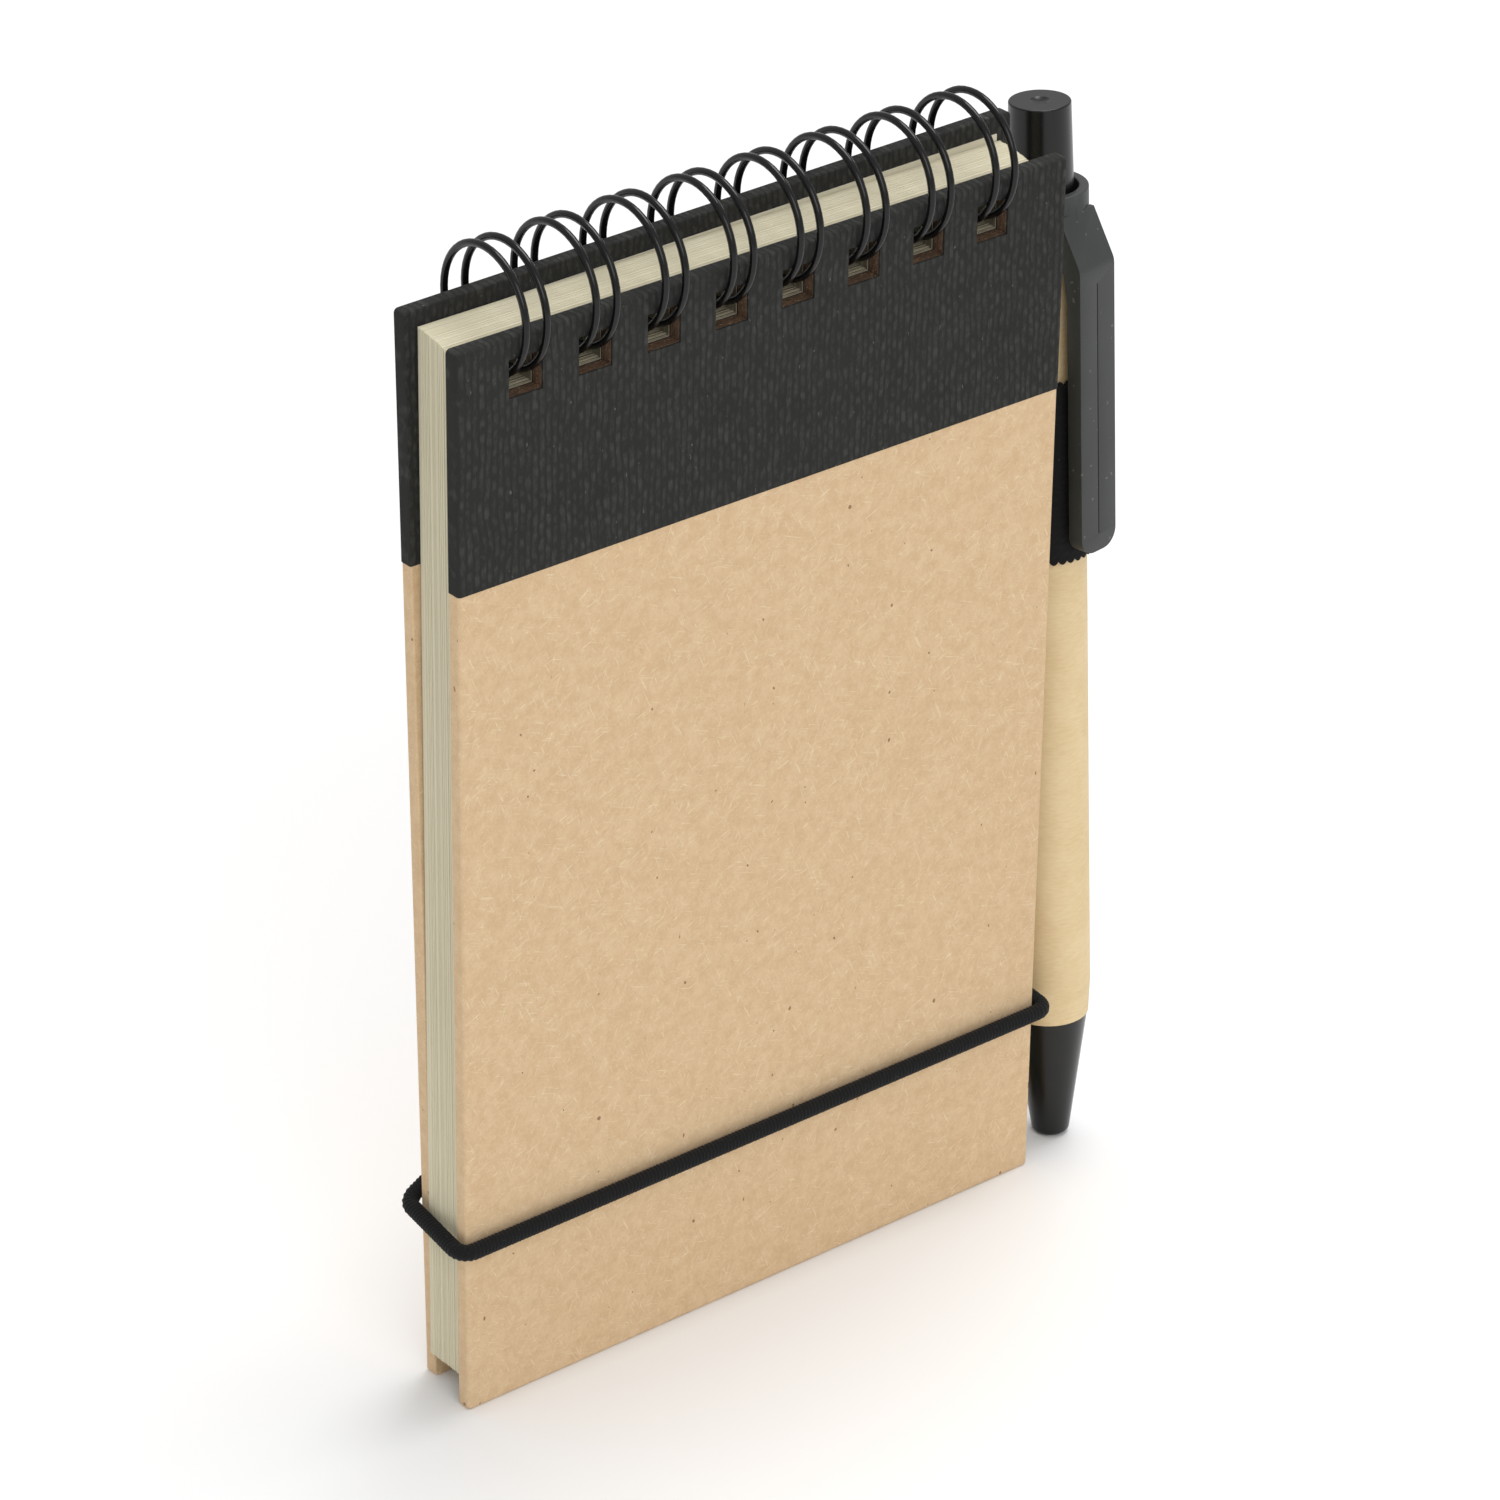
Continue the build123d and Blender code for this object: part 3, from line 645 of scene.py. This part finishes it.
def ring_tangent(angle):
    """The way along the ring at an angle."""
    turn = math.radians(angle)
    return Vector((0.0, math.cos(turn), -math.sin(turn)))


def spin_end(steps, angle, centre, axis):
    """Carries the wire's selected end round a centre. Spin turns left-handed, hence the minus."""
    bpy.ops.mesh.spin(steps=steps, angle=-angle, center=centre, axis=axis)


def end_middle(piece):
    """The middle of the wire's selected end."""
    mesh = bmesh.from_edit_mesh(piece.data)
    picked = [vertex.co.copy() for vertex in mesh.verts if vertex.select]
    return sum(picked, Vector()) / len(picked)


def spread_legs(finger):
    """Moves the two legs apart over the first part of their way from the tip, where they meet."""
    middle = at(FINGER_X, 0, 0).x
    reach = (HOLE_PITCH - BASE_GAP) / 2 * MM
    for vertex in finger.data.vertices:
        off = vertex.co - RING_CENTRE
        angle = math.degrees(math.atan2(-off.y, -off.z))
        if angle < TIP_ANGLE - BEHIND_TIP:
            angle += 360.0
        share = min(1.0, max(0.0, (angle - TIP_ANGLE) / SPREAD_OVER))
        side = vertex.co.x - middle
        near = max(0.0, 1.0 - max(0.0, abs(side) - BASE_GAP / 2 * MM) / reach)
        shift = (BASE_GAP - TIP_GAP) / 2 * MM * math.sin(share * math.pi / 2) * near
        vertex.co.x += math.copysign(shift, side)


def one_finger():
    """A small circle carried along: straight, up over the ring to the tip, and back down again."""
    across = Vector((1.0, 0.0, 0.0))
    quarter, half = math.pi / 2, math.pi
    out, tip = ring_tangent(BASE_ANGLE), ring_tangent(TIP_ANGLE)
    left = at(FINGER_X - TIP_GAP / 2, 0, 0).x
    half_gap = (HOLE_PITCH - TIP_GAP) / 2 * MM - BEND_R
    base = ring_point(BASE_ANGLE) - out * BEND_R
    start = Vector((left - BEND_R - half_gap, base.y, base.z))
    bpy.ops.object.select_all(action="DESELECT")
    bpy.ops.mesh.primitive_circle_add(
        vertices=WIRE_SIDES, radius=WIRE_R, fill_type="NOTHING", location=start, rotation=(0, quarter, 0)
    )
    finger = bpy.context.object
    apply_place(finger)
    start_edit(finger)
    bpy.ops.mesh.select_all(action="SELECT")
    bpy.ops.mesh.extrude_region_move(TRANSFORM_OT_translate={"value": (half_gap, 0.0, 0.0)})
    sweep = math.radians(BASE_ANGLE - TIP_ANGLE)
    spin_end(BEND_STEPS, quarter, end_middle(finger) + out * BEND_R, across.cross(out))
    spin_end(LEG_STEPS, sweep, RING_CENTRE, across)
    spin_end(2 * BEND_STEPS, half, end_middle(finger) + across * TIP_GAP / 2 * MM, tip.cross(across))
    spin_end(LEG_STEPS, -sweep, RING_CENTRE, across)
    spin_end(BEND_STEPS, quarter, end_middle(finger) + across * BEND_R, (-out).cross(across))
    bpy.ops.mesh.extrude_region_move(TRANSFORM_OT_translate={"value": (half_gap, 0.0, 0.0)})
    finish_at = end_middle(finger)
    end_edit()
    spread_legs(finger)
    print("finger runs", [round(v / MM, 3) for v in (finish_at - start)], "mm; the pitch is", HOLE_PITCH)
    return finger


# %% The whole wire
CUT_STUB = 0.5 * MM


def whole_wire(finger):
    """Eight fingers merged end to end, cut off square a little past the outer ones."""
    fingers = [finger]
    for number in range(1, HOLE_COUNT):
        twin = copy_piece(finger, f"finger_{number + 1}")
        for vertex in twin.data.vertices:
            vertex.co.x += number * HOLE_PITCH * MM
        fingers.append(twin)
    wire = join(fingers, "wire_binding")
    first_x = at(FINGER_X - BASE_GAP / 2, 0, 0).x - BEND_R - CUT_STUB
    last_x = at(FINGER_X + BASE_GAP / 2 + (HOLE_COUNT - 1) * HOLE_PITCH, 0, 0).x + BEND_R + CUT_STUB
    start_edit(wire)
    bpy.ops.mesh.select_all(action="SELECT")
    bpy.ops.mesh.remove_doubles(threshold=HAIR)
    for place, direction in ((first_x, -1.0), (last_x, 1.0)):
        bpy.ops.mesh.select_all(action="SELECT")
        bpy.ops.mesh.bisect(
            plane_co=(place, 0, 0), plane_no=(direction, 0, 0), use_fill=True, clear_outer=True
        )
    bpy.ops.mesh.select_all(action="SELECT")
    bpy.ops.mesh.normals_make_consistent(inside=False)
    end_edit()
    smooth(wire)
    return wire


def coated_wire():
    """Steel wire under glossy black nylon: a hard, thin gleam along each leg."""
    material, tree, shader, place = new_material("black nylon-coated steel wire", roughness=0.2, ior=1.53)
    ripple = noise(tree, place, size_mm=0.7)
    tint = mix(tree, noise(tree, place, size_mm=3.0), "#080808", "#101010")
    shader.inputs["Specular IOR Level"].default_value = 0.32
    tree.links.new(tint, shader.inputs["Base Color"])
    relief(tree, shader, ripple, depth_mm=0.01)
    return material


wire = whole_wire(one_finger())
give_material(wire, coated_wire())
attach(wire, "back_cover")
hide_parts("twin_loop_wire")
print("the wire has", len(wire.data.polygons), "faces")

# %% [markdown]
# ## The elastic cord
#
# A round elastic: rubber strands inside a knitted cover whose stitches lie in slanting rings. It is held
# at both ends and pulled tight, so its path is straight runs that turn sharply at the covers' edges. The
# knitted rings are real relief: a tube is laid along the path in mesh code, ring by ring, with each
# ring's radius rising and falling along a slanting thread.

# %% The cord's path
CORD_R = 0.92 * MM
CORD_OFF = 0.95
CORD_FRONT_Y, CORD_BACK_Y, CORD_END_Y = -CORD_OFF, 9.44 + CORD_OFF, 8.83
ANCHOR_LEFT, ANCHOR_RIGHT, ANCHOR_Z = 10.88, 68.08, 27.0
FRONT_RUN_Z, BACK_RUN_Z = 20.45, 20.9
HOLE_BEND, EDGE_BEND = 1.0, 1.45
CORD_BENDS = [HOLE_BEND, EDGE_BEND, EDGE_BEND, EDGE_BEND, EDGE_BEND, HOLE_BEND]
CORD_ROUTE = [
    (ANCHOR_LEFT, CORD_END_Y, ANCHOR_Z),
    (ANCHOR_LEFT, CORD_BACK_Y, ANCHOR_Z),
    (-0.02, CORD_BACK_Y, BACK_RUN_Z),
    (-1.3, CORD_FRONT_Y, FRONT_RUN_Z),
    (78.55, CORD_FRONT_Y, FRONT_RUN_Z),
    (79.18, CORD_BACK_Y, BACK_RUN_Z),
    (ANCHOR_RIGHT, CORD_BACK_Y, ANCHOR_Z),
    (ANCHOR_RIGHT, CORD_END_Y, ANCHOR_Z),
]
RING_STEP = 0.09 * MM


def rounded_path(points, bends):
    """The route as straight runs and round bends: a list of (place, direction), RING_STEP apart."""
    path = []
    here = points[0]
    for corner, after, bend in zip(points[1:-1], points[2:], bends):
        inward, outward = (corner - here).normalized(), (after - corner).normalized()
        turn = inward.angle(outward)
        reach = bend * math.tan(turn / 2)
        bend_start = corner - inward * reach
        steps = max(1, round((bend_start - here).length / RING_STEP))
        path += [(here.lerp(bend_start, n / steps), inward) for n in range(steps)]
        axis = inward.cross(outward).normalized()
        centre = bend_start + axis.cross(inward) * bend
        steps = max(2, round(turn * bend / RING_STEP))
        for n in range(steps):
            rotation = Matrix.Rotation(turn * n / steps, 3, axis)
            path.append((centre + rotation @ (bend_start - centre), rotation @ inward))
        here = corner + outward * reach
    steps = max(1, round((points[-1] - here).length / RING_STEP))
    direction = (points[-1] - here).normalized()
    path += [(here.lerp(points[-1], n / steps), direction) for n in range(steps + 1)]
    return path


cord_path = rounded_path([at(*point) for point in CORD_ROUTE], [bend * MM for bend in CORD_BENDS])
cord_length = sum((b[0] - a[0]).length for a, b in zip(cord_path, cord_path[1:]))
print("the cord's path is", round(cord_length / MM, 1), "mm long, in", len(cord_path), "steps")

# %% Knit the cord's cover along the path
CORD_SIDES = 22
STITCH_PITCH, STITCH_DEPTH = 0.46 * MM, 0.12 * MM
STITCH_SLANT = 2
LOOPS_ROUND, LOOP_PITCH = 9, 2.2 * STITCH_PITCH
RING_SHARE = 0.75  # of the stitches' depth; the loops have the rest


def laid_tube(name, path, sides, radius_at):
    """A closed tube along a path; radius_at gives the radius at a length and an angle."""
    mesh = bmesh.new()
    side = path[0][1].orthogonal().normalized()
    rings, along, previous = [], 0.0, path[0]
    for place, direction in path:
        along += (place - previous[0]).length
        side = previous[1].rotation_difference(direction) @ side
        up = direction.cross(side)
        ring = []
        for n in range(sides):
            angle = 2 * math.pi * n / sides
            radius = radius_at(along, angle)
            ring.append(mesh.verts.new(place + (side * math.cos(angle) + up * math.sin(angle)) * radius))
        rings.append(ring)
        previous = (place, direction)
    for low, high in zip(rings, rings[1:]):
        for n in range(sides):
            mesh.faces.new((low[n], low[(n + 1) % sides], high[(n + 1) % sides], high[n]))
    mesh.faces.new(rings[0][::-1])
    mesh.faces.new(rings[-1])
    data = bpy.data.meshes.new(name)
    mesh.to_mesh(data)
    mesh.free()
    tube = bpy.data.objects.new(name, data)
    bpy.context.scene.collection.objects.link(tube)
    return tube


def stitch_radius(along, angle):
    """The knitted cover's radius: slanting rings of stitches, each split into loops round the cord."""
    ring = 0.5 + 0.5 * math.sin(2 * math.pi * along / STITCH_PITCH + STITCH_SLANT * angle)
    loop = 0.5 + 0.5 * math.sin(LOOPS_ROUND * angle - 2 * math.pi * along / LOOP_PITCH)
    return CORD_R - STITCH_DEPTH * (RING_SHARE * (1 - ring) + (1 - RING_SHARE) * (1 - loop))


def knitted_elastic(name):
    """Dull black yarn, a little brown where the light grazes its fuzz."""
    material, tree, shader, place = new_material(name, roughness=0.85)
    fuzz = noise(tree, place, size_mm=0.12)
    colour = mix(tree, fuzz, "#0A0A0B", "#1D1E1F")
    lint = ramp(tree, noise(tree, place, size_mm=0.3, detail=0.0), 0.83, 0.87, to_value=0.3)
    colour = mix(tree, lint, colour, "#5A5B57")
    tree.links.new(colour, shader.inputs["Base Color"])
    shader.inputs["Specular IOR Level"].default_value = 0.2
    shader.inputs["Sheen Weight"].default_value = 0.05
    shader.inputs["Sheen Roughness"].default_value = 0.5
    relief(tree, shader, fuzz, depth_mm=0.03)
    return material


cord = laid_tube("closure_cord", cord_path, CORD_SIDES, stitch_radius)
give_material(cord, knitted_elastic("black knitted elastic"))
smooth(cord)
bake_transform(cord)
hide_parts("elastic_cord")
print("the cord has", len(cord.data.polygons), "faces")

# %% [markdown]
# ## The ribbon loop
#
# A knitted elastic ribbon, 20 mm wide, goes round the pen and back, and both ends are glued in under
# the back cover's lining. Its two long edges are picot: the selvedge yarn stands out in small scallops.
# A grid follows the ribbon's path round the barrel, rises along the pen, and gets its thickness from
# Solidify. The ribs are real relief, and so are the scallops.

# %% The ribbon's path round the barrel
RIBBON_R, RIBBON_T = 5.02, 0.46
RIBBON_LOW, RIBBON_HIGH = 72.0, 92.0
TAIL_Y, TAIL_REACH, TAIL_HALF = -0.75, 13.0, 0.26
NECK_ANGLE, NECK_REACH, NECK_PULL = 38.0, 1.6, 0.45
ROUND_STEPS, TAIL_STEPS, NECK_STEPS = 330, 12, 8


def neck(start, start_way, end, end_way):
    """A smooth curve from one straight way into another, without its last point."""
    pull = (end - start).length * NECK_PULL
    first, second = start + start_way * pull, end - end_way * pull
    curve = []
    for n in range(NECK_STEPS):
        t = n / NECK_STEPS
        u = 1 - t
        curve.append(start * u**3 + first * 3 * u * u * t + second * 3 * u * t * t + end * t**3)
    return curve


def ribbon_outline():
    """The ribbon seen down the pen, in mm from the pen's middle: in, round the barrel, and out."""
    opening = math.radians(NECK_ANGLE)
    first_angle = math.pi + math.atan2(-TAIL_Y, RIBBON_R) + opening
    arc = []
    for n in range(ROUND_STEPS + 1):
        angle = first_angle + (2 * math.pi - 2 * opening) * n / ROUND_STEPS
        arc.append(Vector((RIBBON_R * math.cos(angle), RIBBON_R * math.sin(angle))))
    low_y, high_y = TAIL_Y - TAIL_HALF, TAIL_Y + TAIL_HALF
    low_end, high_end = Vector((-TAIL_REACH, low_y)), Vector((-TAIL_REACH, high_y))
    low_pinch, high_pinch = Vector((-RIBBON_R - NECK_REACH, low_y)), Vector((-RIBBON_R - NECK_REACH, high_y))
    points = [low_end.lerp(low_pinch, n / TAIL_STEPS) for n in range(TAIL_STEPS)]
    points += neck(low_pinch, Vector((1.0, 0.0)), arc[0], (arc[1] - arc[0]).normalized())
    points += arc
    points += neck(arc[-1], (arc[-1] - arc[-2]).normalized(), high_pinch, Vector((-1.0, 0.0)))
    points += [high_pinch.lerp(high_end, n / TAIL_STEPS) for n in range(TAIL_STEPS + 1)]
    return points


# %% [markdown]
# ## The ribbon's tail
#
# The pen doesn't lean as the back cover does, so a tail that followed the pen would come out through the
# cover's lining. Between the neck and the cover's edge, the tail turns to the cover's own slope.

# %% Turn the tail from the pen's lean to the cover's
TAIL_SHIFT_LOW, TAIL_SHIFT_HIGH = 0.58, -0.56
TAIL_FREE_X, TAIL_HELD_X = -3.9, -6.6


def tail_shift(x, share):
    """How far back the ribbon moves, so that its tail lies in the cover and its loop along the pen."""
    held = min(1.0, max(0.0, (TAIL_FREE_X - x) / (TAIL_FREE_X - TAIL_HELD_X)))
    held = held * held * (3 - 2 * held)
    return held * (TAIL_SHIFT_LOW + (TAIL_SHIFT_HIGH - TAIL_SHIFT_LOW) * share)


# %% Knit the ribbon
PICOT_PITCH, PICOT_DEPTH = 0.95, 0.42
RIBBON_ROWS, ROWS_PER_RIB = 66, 3.0
RIBBON_RIB = 0.05


def ribbon():
    """A grid along the outline and up the pen, with ribs and picot edges, thickened by Solidify."""
    outline = ribbon_outline()
    to_scene = Matrix.Translation(PEN_MOUTH) @ Matrix.Rotation(-PEN_LEAN, 4, "X")
    mesh = bmesh.new()
    grid, along = [], 0.0
    for n, point in enumerate(outline):
        before, after = outline[max(n - 1, 0)], outline[min(n + 1, len(outline) - 1)]
        way = (after - before).normalized()
        outward = Vector((way.y, -way.x))
        along += (point - before).length if n else 0.0
        scallop = PICOT_DEPTH * abs(math.sin(math.pi * along / PICOT_PITCH))
        column = []
        for row in range(RIBBON_ROWS + 1):
            share = row / RIBBON_ROWS
            low, high = RIBBON_LOW - scallop, RIBBON_HIGH + scallop
            rib = RIBBON_RIB * math.sin(2 * math.pi * row / ROWS_PER_RIB)
            spot = point + outward * rib
            height = low + (high - low) * share
            knit = Vector((spot.x, spot.y + tail_shift(spot.x, share), height))
            column.append(mesh.verts.new(to_scene @ (knit * MM)))
        grid.append(column)
    for left, right in zip(grid, grid[1:]):
        for row in range(RIBBON_ROWS):
            mesh.faces.new((left[row], right[row], right[row + 1], left[row + 1]))
    data = bpy.data.meshes.new("pen_ribbon")
    mesh.to_mesh(data)
    mesh.free()
    piece = bpy.data.objects.new("pen_ribbon", data)
    bpy.context.scene.collection.objects.link(piece)
    add_modifier(piece, "SOLIDIFY", thickness=RIBBON_T * MM, offset=0.0)
    return piece


pen_ribbon = ribbon()
give_material(pen_ribbon, knitted_elastic("black picot ribbon elastic"))
smooth(pen_ribbon)
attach(pen_ribbon, "back_cover")
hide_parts("pen_loop")
print("the ribbon has", len(pen_ribbon.data.polygons), "faces")

# %% [markdown]
# ## The pen's materials
#
# The barrel is wound from smooth kraft paper. Nose and button are glossy black polystyrene, fresh from
# a polished mould; the clip is moulded in a tool with a fine satin finish, so it looks greyer. Inside are
# a milky polypropylene refill and cam, a turned brass tip and a steel spring.


# %% Pen materials
def moulded_plastic(name, light, dark, roughness, grain_mm=0.15, grain_depth=0.004, dust_and_shade=0.0, gleam=0.5):
    """Injection-moulded plastic: an even skin, a very fine grain, and a little dust if asked for."""
    material, tree, shader, place = new_material(name, roughness=roughness, ior=1.55)
    shader.inputs["Specular IOR Level"].default_value = gleam
    flow = noise(tree, place, size_mm=8.0)
    colour = mix(tree, ramp(tree, flow, 0.3, 0.7), dark, light)
    if dust_and_shade:
        specks = ramp(tree, noise(tree, place, size_mm=0.55, detail=0.0), 0.815, 0.84, to_value=dust_and_shade)
        colour = mix(tree, specks, colour, "#A9A89E")
    tree.links.new(colour, shader.inputs["Base Color"])
    relief(tree, shader, noise(tree, place, size_mm=grain_mm), depth_mm=grain_depth)
    return material


def wound_paper():
    """A tube of smooth brown paper: long fibres round the tube, and hardly any relief."""
    material, tree, shader, place = new_material("wound kraft paper tube", roughness=0.6)
    fibre = noise(tree, stretched(tree, place, 0.25, 0.25, 1.0), size_mm=0.25, detail=3.0)
    clouds = noise(tree, place, size_mm=5.0)
    tone = math_node(tree, "MULTIPLY", math_node(tree, "ADD", fibre, clouds), 0.5)
    colour = mix(tree, ramp(tree, tone, 0.35, 0.65), "#DABF90", "#E4CDA2")
    tree.links.new(colour, shader.inputs["Base Color"])
    relief(tree, shader, fibre, depth_mm=0.008)
    return material


def turned_metal(name, light, dark, roughness):
    """Metal turned or drawn to size, with faint rings."""
    material, tree, shader, place = new_material(name, roughness=roughness, metallic=1.0)
    rings = noise(tree, stretched(tree, place, 0.2, 0.2, 3.0), size_mm=0.4)
    tree.links.new(mix(tree, rings, dark, light), shader.inputs["Base Color"])
    relief(tree, shader, rings, depth_mm=0.005)
    return material


BLACK_GLOSS = moulded_plastic("glossy black polystyrene", "#131412", "#0E0F0D", roughness=0.26, gleam=0.32)
SATIN = moulded_plastic(
    "satin dark grey ABS", "#313432", "#2A2D2B", roughness=0.5, grain_mm=0.2, grain_depth=0.012, dust_and_shade=0.2
)
MILKY = moulded_plastic("milky polypropylene", "#DCDDD8", "#D2D3CD", roughness=0.4)
BRASS = turned_metal("turned brass", "#D9B56A", "#B88F45", roughness=0.3)
STEEL = turned_metal("drawn spring steel", "#B9B9B7", "#8D8D8B", roughness=0.3)
PEN_MATERIALS = {
    "pen_nose": BLACK_GLOSS,
    "pen_button": BLACK_GLOSS,
    "pen_clip": SATIN,
    "pen_barrel": wound_paper(),
    "pen_cam": MILKY,
    "pen_refill_tube": MILKY,
    "pen_refill_tip": BRASS,
    "pen_spring": STEEL,
    "cord_crimp_left": STEEL,
    "cord_crimp_right": STEEL,
}
for node, material in PEN_MATERIALS.items():
    give_material(frame["nodes"][node], material)
print(len(PEN_MATERIALS), "packed pieces of the pen and the cord finished")

# %% [markdown]
# ## The return spring
#
# The spring in the nose is pushed together by the refill. A copy of the imported spring, with a mesh of its
# own, is tied to the pen, and the imported one is hidden.

# %% A copy of the spring
spring = copy_piece(frame["nodes"]["pen_spring"], "return_spring")
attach(spring, "pen")
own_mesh(spring)
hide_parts("pen_spring")

# %% [markdown]
# ## The clip's rounded edges
#
# A moulded clip has no sharp edge anywhere. A copy of its mesh is merged into one skin, and a narrow bevel
# on all its sharp edges catches the light as the real rounding does.

# %% Round the clip's edges
CLIP_EDGE_R, EDGE_SEGMENTS = 0.3 * MM, 3
SHARP_ANGLE, FLAT_ANGLE, CLIP_SMOOTH_ANGLE = math.radians(30.0), math.radians(1.0), 40.0
MERGE_GAP = 0.002 * MM


def rounded_copy(node, name, radius):
    """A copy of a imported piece, merged, with its sharp edges bevelled."""
    piece = copy_piece(frame["nodes"][node], name)
    start_edit(piece)
    bpy.ops.mesh.select_all(action="SELECT")
    bpy.ops.mesh.remove_doubles(threshold=MERGE_GAP)
    bpy.ops.mesh.dissolve_limited(angle_limit=FLAT_ANGLE)
    end_edit()
    corners = {"limit_method": "ANGLE", "angle_limit": SHARP_ANGLE, "use_clamp_overlap": True}
    add_modifier(piece, "BEVEL", width=radius, segments=EDGE_SEGMENTS, **corners)
    smooth(piece, CLIP_SMOOTH_ANGLE)
    return piece


clip = rounded_copy("pen_clip", "moulded_clip", CLIP_EDGE_R)
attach(clip, "pen")
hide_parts("pen_clip")
print("the clip has", len(clip.data.polygons), "faces")

# %% [markdown]
# ## The floor's paper
#
# Plain matt white paper, so that the sketchbook stands in a soft contact shadow.

# %% Floor material
floor_material, _, floor_shader, _ = new_material("matt white backdrop paper", roughness=0.9)
floor_shader.inputs["Base Color"].default_value = linear("#F7F7F7")
give_material(floor, floor_material)
print("floor finished in", floor_material.name)
